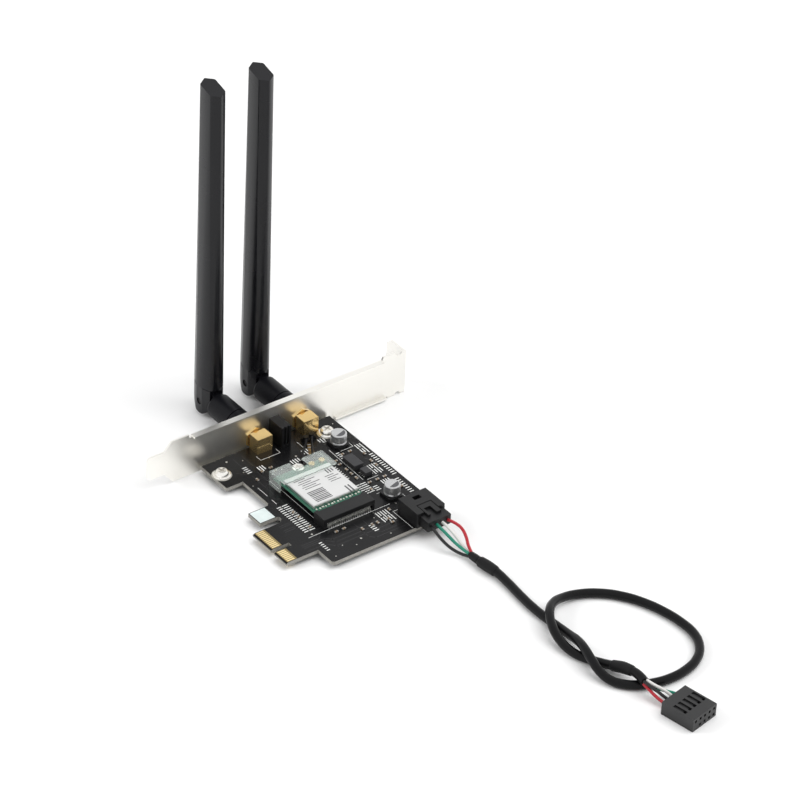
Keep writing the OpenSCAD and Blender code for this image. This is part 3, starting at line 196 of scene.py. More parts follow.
class CardFinishes(bpy.types.PropertyGroup):
    """Colours of the card's finishes and the rounding of its edges."""

    board_black: FloatVectorProperty(
        name="Board Black", description="Colour of the solder mask",
        default=(0.006, 0.006, 0.0065, 1), **COLOUR)
    board_edge: FloatVectorProperty(
        name="Board Edge", description="Colour of the bare board at its cut edges",
        default=(0.36, 0.35, 0.32, 1), **COLOUR)
    plastic_black: FloatVectorProperty(
        name="Connector Black", description="Colour of the connector housings",
        default=(0.006, 0.006, 0.0065, 1), **COLOUR)
    antenna_black: FloatVectorProperty(
        name="Antenna Black", description="Colour of the antennas",
        default=(0.0045, 0.0046, 0.006, 1), **COLOUR)
    cable_black: FloatVectorProperty(
        name="Cable Black", description="Colour of the cable's jacket",
        default=(0.004, 0.004, 0.0045, 1), **COLOUR)
    gold: FloatVectorProperty(
        name="Gold", description="Colour of the gold plate",
        default=(0.9, 0.66, 0.3, 1), **COLOUR)
    nickel: FloatVectorProperty(
        name="Nickel", description="Colour of the bracket's bright plate",
        default=(0.94, 0.925, 0.88, 1), **COLOUR)
    module_green: FloatVectorProperty(
        name="Module Green", description="Colour of the module's board",
        default=(0.012, 0.1, 0.06, 1), **COLOUR)
    clip_tint: FloatVectorProperty(
        name="Clip Tint", description="Tint of the clear clip",
        default=(0.93, 0.98, 0.95, 1), **COLOUR)
    edge_round: FloatProperty(
        name="Edge Rounding", description="Radius on the edges of chips, sockets and nuts",
        min=0.00002, max=0.0005, default=0.00012, **LENGTH)
    sheet_round: FloatProperty(
        name="Sheet Rounding", description="Radius on the edges of the bent bracket",
        min=0.00002, max=0.0003, default=0.00015, **LENGTH)


class LeadSizes(bpy.types.PropertyGroup):
    """Sizes of the lead, of the coax leads and of the antennas' grip ribs."""

    cable_diameter: FloatProperty(
        name="Cable Diameter", description="Outside diameter of the round cable",
        min=0.002, max=0.005, default=0.0034, **LENGTH)
    wire_diameter: FloatProperty(
        name="Wire Diameter", description="Outside diameter of one wire",
        min=0.0008, max=0.0016, default=0.0012, **LENGTH)
    sleeve_diameter: FloatProperty(
        name="Sleeve Diameter", description="Outside diameter of the shrunk sleeves",
        min=0.0036, max=0.005, default=0.0044, **LENGTH)
    neck_diameter: FloatProperty(
        name="Neck Diameter", description="Outside diameter of the thin sleeve over the wires",
        min=0.0028, max=0.004, default=0.0032, **LENGTH)
    coax_diameter: FloatProperty(
        name="Coax Diameter", description="Outside diameter of a thin coax lead",
        min=0.0006, max=0.0013, default=0.0009, **LENGTH)
    cable_length: FloatProperty(
        name="Cable Length", description="Real length of the round cable",
        min=0.1, max=1, default=0.2565, **LENGTH)
    ring_ribs: IntProperty(
        name="Ring Ribs", description="Grip ribs round an antenna's coupling ring",
        min=12, max=72, default=40)


class StudioValues(bpy.types.PropertyGroup):
    """Camera place and light levels of the plain studio."""

    camera_place: FloatVectorProperty(
        name="Camera Place", description="Where the camera stands in the row frame",
        unit="LENGTH", subtype="TRANSLATION", size=3, default=(0.928521, -0.69721, 0.8459))
    camera_azimuth: FloatProperty(
        name="Camera Azimuth", description="Turn of the camera round the vertical axis",
        default=math.radians(-38.5277), **ANGLE)
    camera_elevation: FloatProperty(
        name="Camera Elevation", description="Height of the view over the horizon",
        default=math.radians(35.0091), **ANGLE)
    camera_roll: FloatProperty(
        name="Camera Roll", description="Turn of the picture round the line of sight",
        default=math.radians(2.831), **ANGLE)
    lens: FloatProperty(
        name="Focal Length", description="Focal length on a 36 mm sensor",
        unit="CAMERA", min=50, max=400, default=171)
    key_power: FloatProperty(
        name="Key Power", description="Power of the large soft light overhead",
        default=15.5, **POWER)
    side_power: FloatProperty(
        name="Side Power", description="Power of the soft light at the left, twice the right one's",
        default=4.5, **POWER)
    room_level: FloatProperty(
        name="Room Level", description="Brightness of the even light from all round",
        min=0, max=2, default=0.5)


# --- Building pieces

BODY_OF = {node: body for body, nodes in frame["record"]["behaviour"]["bodies"].items()
           for node in nodes}
SLOT_OF = {entry["node"]: entry["material_slot"] for entry in frame["record"]["subparts"]}


def finishes():
    """The finishes that the user set."""
    return bpy.context.scene.wifi_card_finishes


def place_piece(name, data, material, slot, nodes=(), body="card"):
    """Links a mesh or curve as a piece that rides on a body and stands for CAD nodes."""
    data.materials.append(material)
    piece = bpy.data.objects.new(name, data)
    bpy.context.collection.objects.link(piece)
    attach(piece, body)
    if nodes:
        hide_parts(*nodes)
    return piece


def finish_shape(shape, name, material, slot, nodes=(), body="card", sharp=35):
    """Turns a bmesh into a piece with smooth faces and sharp edges past an angle."""
    for face in shape.faces:
        face.smooth = True
    mesh = bpy.data.meshes.new(name)
    shape.to_mesh(mesh)
    shape.free()
    mesh.set_sharp_from_angle(angle=math.radians(sharp))
    return place_piece(name, mesh, material, slot, nodes, body)


def finish_node(shape, node, material, sharp=35):
    """Turns a reworked copy of a CAD node into the piece that stands for it."""
    piece = finish_shape(shape, f"{node}_shell", material, SLOT_OF[node], [node], BODY_OF[node],
                         sharp)
    normals = piece.modifiers.new("even_normals", "WEIGHTED_NORMAL")
    normals.keep_sharp = True
    normals.weight = 80


def merged_copy(node):
    """A copy of a CAD node's mesh with its loose triangles merged and its flats made whole."""
    shape = bmesh.new()
    shape.from_mesh(frame["nodes"][node].data)
    bmesh.ops.remove_doubles(shape, verts=shape.verts, dist=2e-6)
    bmesh.ops.dissolve_limit(
        shape, angle_limit=math.radians(0.6), verts=shape.verts, edges=shape.edges,
        delimit={"NORMAL"})
    return shape


def round_edges(shape, width, segments=2, angle=38):
    """Rounds the edges of a shape that are sharper than an angle."""
    edges = [edge for edge in shape.edges
             if len(edge.link_faces) == 2 and edge.calc_face_angle(0) > math.radians(angle)]
    if edges:
        bmesh.ops.bevel(
            shape, geom=edges, offset=width, offset_type="OFFSET", segments=segments,
            profile=0.5, affect="EDGES", clamp_overlap=True, material=-1)


def soften(node, material, width=None, segments=2, angle=38, sharp=35):
    """Makes a rounded copy of a CAD node, which stands for it."""
    shape = merged_copy(node)
    round_edges(shape, width or finishes().edge_round, segments, angle)
    finish_node(shape, node, material, sharp)


def paint(node, material):
    """Gives a CAD node that keeps its own shape a better material."""
    data = frame["nodes"][node].data
    data.materials.clear()
    data.materials.append(material)


def add_block(shape, low, size, turn=0):
    """Adds a block by its low corner and size in metres, turned about its own middle."""
    place = Matrix.Translation(Vector(low) + Vector(size) / 2)
    bmesh.ops.create_cube(
        shape, size=1, matrix=place @ Matrix.Rotation(turn, 4, "Z") @ Matrix.Diagonal((*size, 1)))


def add_rod(shape, centre, radius, length, segments, lean=0):
    """Adds a closed rod about its centre in metres, upright or leant towards X by degrees."""
    return bmesh.ops.create_cone(
        shape, cap_ends=True, segments=segments, radius1=radius, radius2=radius, depth=length,
        matrix=Matrix.Translation(centre) @ Matrix.Rotation(math.radians(lean), 4, "Y"))["verts"]


def add_strip(shape, points, width, high=PRINT_HEIGHT, low=-PRINT_INSET):
    """Adds flat strips along points of the card, with their heights over the board's top."""
    for start, end in zip(points, points[1:]):
        a, b = card(*start, BOARD_TOP + low), card(*end, BOARD_TOP + low)
        along = b - a
        size = Vector((along.length + width * MM, width * MM, (high - low) * MM))
        corner = (a + b) / 2 - Vector((size.x / 2, size.y / 2, 0))
        add_block(shape, corner, size, math.atan2(along.y, along.x))


def tube(name, route, diameter, material, slot, nodes, swell=None, sides=4):
    """A round tube along a smooth curve through points of the card frame."""
    data = bpy.data.curves.new(name, "CURVE")
    data.dimensions = "3D"
    data.resolution_u = 6
    data.bevel_depth = diameter / 2
    data.bevel_resolution = sides
    data.use_fill_caps = True
    spline = data.splines.new("BEZIER")
    spline.bezier_points.add(len(route) - 1)
    for knot, point, radius in zip(spline.bezier_points, route, swell or [1] * len(route)):
        knot.co = card(*point)
        knot.handle_left_type = knot.handle_right_type = "AUTO"
        knot.radius = radius
    return place_piece(name, data, material, slot, nodes)


# --- Shared shader effects


def plug(tree, value, socket):
    """Links a socket to another one, or gives it a plain value."""
    if isinstance(value, bpy.types.NodeSocket):
        tree.links.new(value, socket)
    else:
        socket.default_value = value


def feed(tree, node, *first, **named):
    """Feeds a node's first inputs in order, and others by name."""
    for value, socket in zip(first, node.inputs):
        plug(tree, value, socket)
    for key, value in named.items():
        plug(tree, value, node.inputs[key.replace("_", " ")])


def add_node(tree, kind, *first, **named):
    """Adds a node, sets its own settings and feeds its inputs, and returns its outputs."""
    node = tree.nodes.new(kind)
    for key in [key for key in named if hasattr(node, key)]:
        setattr(node, key, named.pop(key))
    feed(tree, node, *first, **named)
    return node.outputs


# Kinds of group sockets by name, where they aren't plain numbers.
SOCKET_KINDS = {"Colour": "NodeSocketColor", "Second Colour": "NodeSocketColor",
                "Stretch": "NodeSocketVector"}


def new_group(name, inputs, outputs):
    """A shader node group with named inputs, each with its default, and named outputs."""
    tree = bpy.data.node_groups.new(name, "ShaderNodeTree")
    for way, labels in (("INPUT", inputs), ("OUTPUT", outputs)):
        for label in labels:
            socket = tree.interface.new_socket(
                name=label, in_out=way, socket_type=SOCKET_KINDS.get(label, "NodeSocketFloat"))
            if way == "INPUT":
                socket.default_value = inputs[label]
    return tree, tree.nodes.new("NodeGroupInput").outputs, tree.nodes.new("NodeGroupOutput")


def use_group(tree, build, **values):
    """Places a shared group with its own values, and builds it the first time."""
    group = bpy.data.node_groups.get(build.__name__) or build()
    return add_node(tree, "ShaderNodeGroup", node_tree=group, **values)


def noise(tree, scale, detail=2, vector=None):
    """Noise in Object coordinates, or in a vector's own."""
    if vector is None:
        vector = add_node(tree, "ShaderNodeTexCoord")["Object"]
    return add_node(tree, "ShaderNodeTexNoise", Vector=vector, Scale=scale, Detail=detail)[0]


def mix_colour(tree, factor, first, second):
    """Mixes two colours by a factor, and returns the colour socket."""
    mix = tree.nodes.new("ShaderNodeMix")
    mix.data_type = "RGBA"
    for value, index in ((factor, 0), (first, 6), (second, 7)):
        plug(tree, value, mix.inputs[index])
    return mix.outputs[2]


def ranged(tree, value, low, high, out_low, out_high):
    """Maps a value from one range to another, and returns the value socket."""
    return add_node(tree, "ShaderNodeMapRange", value, low, high, out_low, out_high)[0]


def cloudy_gloss(tree, cloud, source):
    """Roughness between a group's low and high value."""
    return ranged(tree, cloud, 0.3, 0.7, source["Low Roughness"], source["High Roughness"])


def surface_variation():
    """Slow drift of colour and gloss, and a fine moulded grain."""
    tree, source, sink = new_group(
        "surface_variation",
        {"Colour": (0.5, 0.5, 0.5, 1), "Second Colour": (0.4, 0.4, 0.4, 1), "Drift Scale": 120,
         "Grain Scale": 4000, "Low Roughness": 0.4, "High Roughness": 0.5},
        ("Colour", "Roughness", "Height"))
    drift = noise(tree, source["Drift Scale"], 3)
    share = ranged(tree, drift, 0.3, 0.7, 0, 1)
    feed(tree, sink, Height=noise(tree, source["Grain Scale"]),
         Colour=mix_colour(tree, share, source["Colour"], source["Second Colour"]),
         Roughness=cloudy_gloss(tree, drift, source))
    return tree


def drawn_metal():
    """Fine lines that run one way and a slow cloudiness, for rolled and plated sheet."""
    tree, source, sink = new_group(
        "drawn_metal",
        {"Stretch": (1, 1, 1), "Line Scale": 3000, "Low Roughness": 0.12, "High Roughness": 0.2},
        ("Roughness", "Height", "Cloud"))
    place = add_node(tree, "ShaderNodeTexCoord")["Object"]
    stretched = add_node(tree, "ShaderNodeMapping", Vector=place, Scale=source["Stretch"])[0]
    cloud = noise(tree, 90, 3)
    feed(tree, sink, Height=noise(tree, source["Line Scale"], vector=stretched), Cloud=cloud,
         Roughness=cloudy_gloss(tree, cloud, source))
    return tree


def cut_side():
    """Mask that is 1 on a sheet's cut sides and 0 on its two faces."""
    tree, _, sink = new_group("cut_side", {}, {"Mask": "NodeSocketFloat"})
    place = add_node(tree, "ShaderNodeTexCoord")["Normal"]
    upright = add_node(tree, "ShaderNodeSeparateXYZ", place)["Z"]
    steep = add_node(tree, "ShaderNodeMath", upright, operation="ABSOLUTE")[0]
    feed(tree, sink, Mask=ranged(tree, steep, 0.25, 0.6, 1, 0))
    return tree


def new_material(name):
    """An empty node material, its tree and its Principled shader."""
    material = bpy.data.materials.new(name)
    material.use_nodes = True
    return material, material.node_tree, material.node_tree.nodes["Principled BSDF"]


def bump(tree, height, distance, strength):
    """The normal that a height gives."""
    return add_node(tree, "ShaderNodeBump", Height=height, Distance=distance,
                    Strength=strength)["Normal"]


def shade(colour, factor):
    """An opaque colour made lighter or darker by a factor."""
    return (*[min(1, channel * factor) for channel in colour[:3]], 1)


def varied(tree, colour, change, drift=120, grain=4000, low=0.4, high=0.5):
    """Surface variation from a colour to a changed shade of it."""
    return use_group(
        tree, surface_variation, Colour=shade(colour, 1), Second_Colour=shade(colour, change),
        Drift_Scale=drift, Grain_Scale=grain, Low_Roughness=low, High_Roughness=high)


def moulded(name, colour, low=0.38, high=0.5, grain=5200, depth=6e-6, drift=150, change=1.25,
            specular=0.5):
    """A moulded plastic, rubber or painted finish with fine grain and slow drift."""
    name = f"{name}_finish"
    if name in bpy.data.materials:
        return bpy.data.materials[name]
    material, tree, shader = new_material(name)
    effect = varied(tree, colour, change, drift, grain, low, high)
    feed(tree, shader, Base_Color=effect["Colour"], Roughness=effect["Roughness"],
         Specular_IOR_Level=specular, Normal=bump(tree, effect["Height"], depth, 0.6))
    return material


def plated(name, colour, low, high, stretch=(1, 1, 1), scale=2500, depth=2e-6, second=0.9,
           metallic=1):
    """A plated or rolled metal finish with fine lines and cloudy gloss."""
    name = f"{name}_finish"
    if name in bpy.data.materials:
        return bpy.data.materials[name]
    material, tree, shader = new_material(name)
    effect = use_group(tree, drawn_metal, Stretch=stretch, Line_Scale=scale, Low_Roughness=low,
                       High_Roughness=high)
    feed(tree, shader, Metallic=metallic, Roughness=effect["Roughness"],
         Base_Color=mix_colour(tree, effect["Cloud"], shade(colour, 1), shade(colour, second)),
         Normal=bump(tree, effect["Height"], depth, 0.5))
    return material


def gold_plate():
    """Gold plate of the sockets, contacts and plugs."""
    return plated("gold_plate", finishes().gold, 0.11, 0.17, scale=1500, depth=5e-7,
                  second=0.86, metallic=0.88)


def nickel_plate():
    """Bright plate of the bracket and the module's screw."""
    return plated("bright_nickel", finishes().nickel, 0.3, 0.36, stretch=(1, 0.04, 1),
                  scale=1500, depth=1e-6, second=0.96)


def connector_black():
    """Moulded black of the connectors."""
    return moulded("connector_black", finishes().plastic_black, specular=0.34)


# --- Operators


class WIFICARD_OT_stage(bpy.types.Operator):
    """Camera, pale floor, soft lights and an even white room"""

    bl_idname = "wificard.stage"
    bl_label = "Studio"

    def execute(self, context):
        values = context.scene.wifi_card_studio
        context.scene.view_settings.view_transform = "Standard"
        self.add_camera(context, values)
        self.add_floor(context)
        self.add_lights(context, values)
        self.add_room(context, values)
        return {"FINISHED"}

    def add_camera(self, context, values):
        """A camera that looks along an azimuth and elevation, with a roll."""
        quarter = math.radians(90)
        data = bpy.data.cameras.new("photo_camera")
        data.lens = values.lens
        data.sensor_width = 36
        data.clip_start, data.clip_end = 0.05, 20
        camera = bpy.data.objects.new("photo_camera", data)
        camera.matrix_world = (
            Matrix.Translation(values.camera_place)
            @ Matrix.Rotation(values.camera_azimuth + quarter, 4, "Z")
            @ Matrix.Rotation(quarter - values.camera_elevation, 4, "X")
            @ Matrix.Rotation(values.camera_roll, 4, "Z"))
        context.collection.objects.link(camera)
        context.scene.camera = camera

    def add_floor(self, context):
        """A pale square, a hair below the card so that the two don't share a plane."""
        reach, drop = 0.8, 0.00012
        shape = bmesh.new()
        bmesh.ops.create_grid(shape, x_segments=1, y_segments=1, size=reach,
                              matrix=Matrix.Translation((0, 0, -drop)))
        mesh = bpy.data.meshes.new("floor")
        shape.to_mesh(mesh)
        shape.free()
        material, tree, shader = new_material("floor_paper")
        feed(tree, shader, Base_Color=(0.94, 0.94, 0.94, 1), Roughness=0.9,
             Specular_IOR_Level=0.1)
        mesh.materials.append(material)
        floor = bpy.data.objects.new("floor", mesh)
        context.collection.objects.link(floor)

    def add_lights(self, context, values):
        """One large light overhead and one at each side, given by place, target and size."""
        for name, place, target, size, power in (
                ("key_light", (0.35, 0.45, 1.4), (0.04, 0, 0.02), (1.6, 1.6), values.key_power),
                ("left_light", (-0.5, -0.75, 0.6), (-0.1, -0.1, 0), (0.5, 0.5), values.side_power),
                ("right_light", (0.75, 0.75, 0.5), (-0.03, 0, 0.07), (0.5, 1),
                 values.side_power / 2)):
            data = bpy.data.lights.new(name, "AREA")
            data.shape = "RECTANGLE"
            data.size, data.size_y = size
            data.energy = power
            lamp = bpy.data.objects.new(name, data)
            lamp.location = place
            lamp.rotation_mode = "QUATERNION"
            lamp.rotation_quaternion = (Vector(target) - Vector(place)).to_track_quat("-Z", "Y")
            lamp.visible_glossy = False
            context.collection.objects.link(lamp)

    def add_room(self, context, values):
        """A world that the camera, metal and glass see as white, and that lights less."""
        world = bpy.data.worlds.new("white_room")
        context.scene.world = world
        world.use_nodes = True
        tree = world.node_tree
        rays = add_node(tree, "ShaderNodeLightPath")
        shiny = add_node(tree, "ShaderNodeMath", rays["Is Glossy Ray"],
                         rays["Is Transmission Ray"], operation="MAXIMUM")
        seen = add_node(tree, "ShaderNodeMath", rays["Is Camera Ray"], shiny[0],
                        operation="MAXIMUM")
        feed(tree, tree.nodes["Background"], Color=(1, 1, 1, 1),
             Strength=ranged(tree, seen[0], 0, 1, values.room_level, 1))


class WIFICARD_OT_lead(bpy.types.Operator):
    """The round cable with its sleeves, and the wires at both of its ends"""

    bl_idname = "wificard.lead"
    bl_label = "Lead"

    def execute(self, context):
        sizes = context.scene.wifi_card_lead
        jacket = moulded("cable_jacket", finishes().cable_black, 0.26, 0.34, 2600, specular=0.17)
        sleeve = moulded("shrunk_sleeve", (0.007, 0.007, 0.0075), 0.46, 0.6, 1800, 1.2e-5,
                         specular=0.2)
        cable = tube("cable_jacket", CABLE_ROUTE, sizes.cable_diameter, jacket, "cable_black",
                     ["cable"], sides=6)
        for name, route, diameter, swell in (
                ("near_sleeve", NEAR_SLEEVE_ROUTE, sizes.sleeve_diameter, (0.94, 1, 0.93)),
                ("far_sleeve", FAR_SLEEVE_ROUTE, sizes.sleeve_diameter, (0.93, 1, 0.92)),
                ("neck_sleeve", NECK_ROUTE, sizes.neck_diameter, (0.92, 1, 1))):
            self.shrunk_sleeve(name, route, diameter, swell, sleeve)
        for colour, (value, from_plug, to_housing) in WIRES.items():
            finish = moulded(f"wire_{colour}", value, 0.3, 0.42, 3000, 5e-6, change=1.12)
            from_plug = [Vector(PLUG_FACE) + Vector(point) for point in from_plug]
            for end, route in (("plug", from_plug), ("end", to_housing)):
                node = f"{end}_wire_{colour}"
                tube(f"{node}_strand", route, sizes.wire_diameter, finish,
                                    f"wire_{colour}", [node])
        return {"FINISHED"}

    def shrunk_sleeve(self, name, route, diameter, swell, material):
        """A shrunk tube with soft shoulders at both of its ends."""
        lip, end_swell = 0.6, 0.8
        first, middle, last = [Vector(p) for p in route]
        points = [first, first + (middle - first).normalized() * lip, middle,
                  last - (last - middle).normalized() * lip, last]
        return tube(f"{name}_skin", points, diameter, material, "sleeve_black", [name],
                    (end_swell, *swell, end_swell), sides=8)


class WIFICARD_OT_plugs(bpy.types.Operator):
    """The pin header with its plug, and the connector at the lead's far end"""

    bl_idname = "wificard.plugs"
    bl_label = "Plugs"

    def execute(self, context):
        black = connector_black()
        soften("pin_header", black, 0.00014)
        soften("cable_plug", black)
        end_black = moulded("end_black", finishes().plastic_black, 0.4, 0.52, specular=0.62)
        soften("end_connector", end_black, 0.00014)
        for node in ("header_pins", "plug_contacts", "end_contacts"):
            paint(node, gold_plate())
        return {"FINISHED"}


class WIFICARD_OT_bracket(bpy.types.Operator):
    """The bent slot bracket and its two screws"""

    bl_idname = "wificard.bracket"
    bl_label = "Bracket"

    def execute(self, context):
        soften("bracket", nickel_plate(), finishes().sheet_round)
        screws = plated("screw_nickel", (0.96, 0.94, 0.9), 0.2, 0.28, scale=1200,
                        metallic=0.88)
        soften("bracket_screws", screws, 0.00006, angle=50)
        return {"FINISHED"}


class WIFICARD_OT_sockets(bpy.types.Operator):
    """The two gold antenna sockets with their nuts, and the light holder between them"""

    bl_idname = "wificard.sockets"
    bl_label = "Sockets"

    def execute(self, context):
        gold = gold_plate()
        for node in ("socket_body_left", "socket_body_right", "socket_nuts", "lock_washers"):
            soften(node, gold)
        self.add_threads(gold)
        paint("socket_insulators", moulded("white_insulator", (0.8, 0.79, 0.76), 0.3, 0.4))
        paint("socket_centres", gold)
        soften("light_holder", connector_black())
        lamp, tree, shader = new_material("clear_lamp")
        effect = use_group(tree, surface_variation, Colour=(0.8, 0.86, 0.82, 1),
                           Second_Colour=(0.9, 0.92, 0.9, 1), Low_Roughness=0.1,
                           High_Roughness=0.18)
        feed(tree, shader, Base_Color=effect["Colour"], Roughness=effect["Roughness"],
             Transmission_Weight=0.7)
        paint("lamps", lamp)
        return {"FINISHED"}

    def add_threads(self, gold):
        """Thread ridges on the short neck between the bracket and each socket's body."""
        radius, ridge = 3.3 * MM, 0.06 * MM
        for side, y in SOCKET_Y.items():
            shape = bmesh.new()
            for x in (0.92, 1.14):
                add_rod(shape, card(x, y, SOCKET_Z), radius, ridge, 40, lean=90)
            finish_shape(shape, f"socket_thread_{side}", gold, "gold_plate")


class WIFICARD_OT_antennas(bpy.types.Operator):
    """The folding antennas: coupling rings, knuckles, pins and blades"""

    bl_idname = "wificard.antennas"
    bl_label = "Antennas"

    def execute(self, context):
        colour = finishes().antenna_black
        ribs = context.scene.wifi_card_lead.ring_ribs
        black = moulded("antenna_black", colour, 0.22, 0.3, 4200, 4e-6, drift=60, specular=0.3)
        hub_black = moulded("hub_black", colour, 0.34, 0.44, 4200, 5e-6, drift=60,
                            specular=0.14)
        pin_black = moulded("pin_black", (0.01, 0.01, 0.01), 0.5, 0.6)
        copper = plated("radiator_copper", (0.7, 0.36, 0.2), 0.25, 0.35)
        for side, y in SOCKET_Y.items():
            self.ribbed_ring(f"coupling_ring_{side}", y, ribs, hub_black)
            soften(f"knuckle_{side}", hub_black, 0.0002)
            paint(f"hinge_pin_{side}", pin_black)
            soften(f"blade_{side}", black, 0.0002, angle=44, sharp=44)
            paint(f"radiator_{side}", copper)
        return {"FINISHED"}

    def ribbed_ring(self, node, y, ribs, material):
        """The coupling ring with shallow grip ribs round it, between its plain ends."""
        plain_ends, rib_width, rib_depth, sunk = 0.0024, 0.00034, 0.00012, 0.00002
        shape = merged_copy(node)
        round_edges(shape, 0.0001)
        low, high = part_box(node)
        centre = Vector(((low.x + high.x) / 2, card(0, y).y, SOCKET_Z * MM))
        out = Matrix.Translation((0, 0, (high.z - low.z) / 2 - sunk))
        size = Matrix.Diagonal((high.x - low.x - plain_ends, rib_width, rib_depth, 1))
        for rib in range(ribs):
            turn = Matrix.Rotation(2 * math.pi * rib / ribs, 4, "X")
            bmesh.ops.create_cube(
                shape, size=1, matrix=Matrix.Translation(centre) @ turn @ out @ size)
        finish_node(shape, node, material)


class WIFICARD_OT_board(bpy.types.Operator):
    """The main board with its copper relief, printed lines, vias and edge contacts"""

    bl_idname = "wificard.board"
    bl_label = "Board"

    def execute(self, context):
        soften("board", self.solder_mask(), 0.00004, segments=1, angle=60)
        paint("edge_contacts", plated("pad_gold", (1, 0.8, 0.42), 0.3, 0.4, scale=1500,
                                      metallic=0.6))
        self.copper_relief()
        self.bare_tab()
        self.printed_lines()
        self.tab_field()
        self.via_dots()
        return {"FINISHED"}

    def solder_mask(self):
        """Black solder mask on both faces and bare board at the cut sides."""
        colours = finishes()
        material, tree, shader = new_material("solder_mask_black")
        effect = varied(tree, colours.board_black, 1.5, 70, 2600, 0.22, 0.3)
        bare = varied(tree, colours.board_edge, 0.7, 900, 5000)
        side = use_group(tree, cut_side)["Mask"]
        feed(tree, shader, Specular_IOR_Level=0.2,
             Base_Color=mix_colour(tree, side, effect["Colour"], bare["Colour"]),
             Roughness=ranged(tree, side, 0, 1, effect["Roughness"], 0.7),
             Normal=bump(tree, effect["Height"], 5e-6, 0.6))
        return material

    def copper_relief(self):
        """Copper runs that stand out under the mask."""
        over_copper = moulded("mask_over_copper", shade(finishes().board_black, 2.2), 0.22, 0.3,
                              2600, 5e-6, drift=70, specular=0.4)
        shape = bmesh.new()
        for run in COPPER_RUNS:
            add_strip(shape, run, 0.3, high=0.012, low=-0.02)
        finish_shape(shape, "copper_relief", over_copper, "solder_mask_black")

    def bare_tab(self):
        """Bare laminate between the edge contacts."""
        laminate = moulded("bare_laminate", (0.2, 0.15, 0.06), 0.4, 0.5, 3000, 4e-6)
        shape = bmesh.new()
        for x, width in ((46.3, 11.25), (59.85, 7.25)):
            corner = card(x, 16.1, BOARD_TOP - PRINT_INSET)
            add_block(shape, corner, Vector((width, 4.4, 0.03)) * MM)
        finish_shape(shape, "bare_tab", laminate, "gold_plate")

    def printed_lines(self):
        """White printed outlines, and the fields of bars."""
        line_width, bar_width = 0.16, 0.4
        white = moulded("printed_white", (0.76, 0.77, 0.75), 0.5, 0.62, 5000, 4e-6)
        shape = bmesh.new()
        for line in PRINTED_LINES:
            add_strip(shape, line, line_width)
        for field in PRINTED_FIELDS:
            for bar in self.field_bars(*field):
                add_strip(shape, bar, bar_width)
        finish_shape(shape, "printed_lines", white, "white_label")

    def field_bars(self, x, y, along, across, step_x, step_y):
        """Rows of short parallel bars of uneven length, in place of print beside the parts."""
        for column in range(along):
            for row in range(across):
                share = 0.62 + 0.09 * ((5 * column + 3 * row + along) % 5)
                start = Vector((x + column * step_x, y + row * step_y))
                run = Vector((0, step_y)) if step_y > step_x else Vector((step_x, 0))
                yield start, start + share * run

    def tab_field(self):
        """The pale field on the small tab."""
        pale = moulded("tab_pale", (0.6, 0.67, 0.66), 0.5, 0.6, 4000, 4e-6)
        shape = bmesh.new()
        corner = card(35.3, 21.6, BOARD_TOP - PRINT_INSET)
        add_block(shape, corner, Vector((7, 6.7, PRINT_HEIGHT + PRINT_INSET)) * MM)
        finish_shape(shape, "tab_field", pale, "white_label")

    def via_dots(self):
        """Small tinned vias and test points, and the lands under the two bracket screws."""
        via, test_point, land = 0.26, 0.42, 3.9
        tin = plated("tinned_pads", (0.62, 0.61, 0.57), 0.25, 0.4, scale=1500)
        shape = bmesh.new()
        for index, (x, y) in enumerate(VIAS):
            radius = via if index % 5 else test_point
            add_rod(shape, card(x, y, BOARD_TOP + 0.01), radius * MM, 0.05 * MM, 12)
        for y in (26.9, 75.6):
            add_rod(shape, card(9.7, y, BOARD_TOP + 0.012), land * MM, 0.04 * MM, 48)
        finish_shape(shape, "via_dots", tin, "tinned_steel")


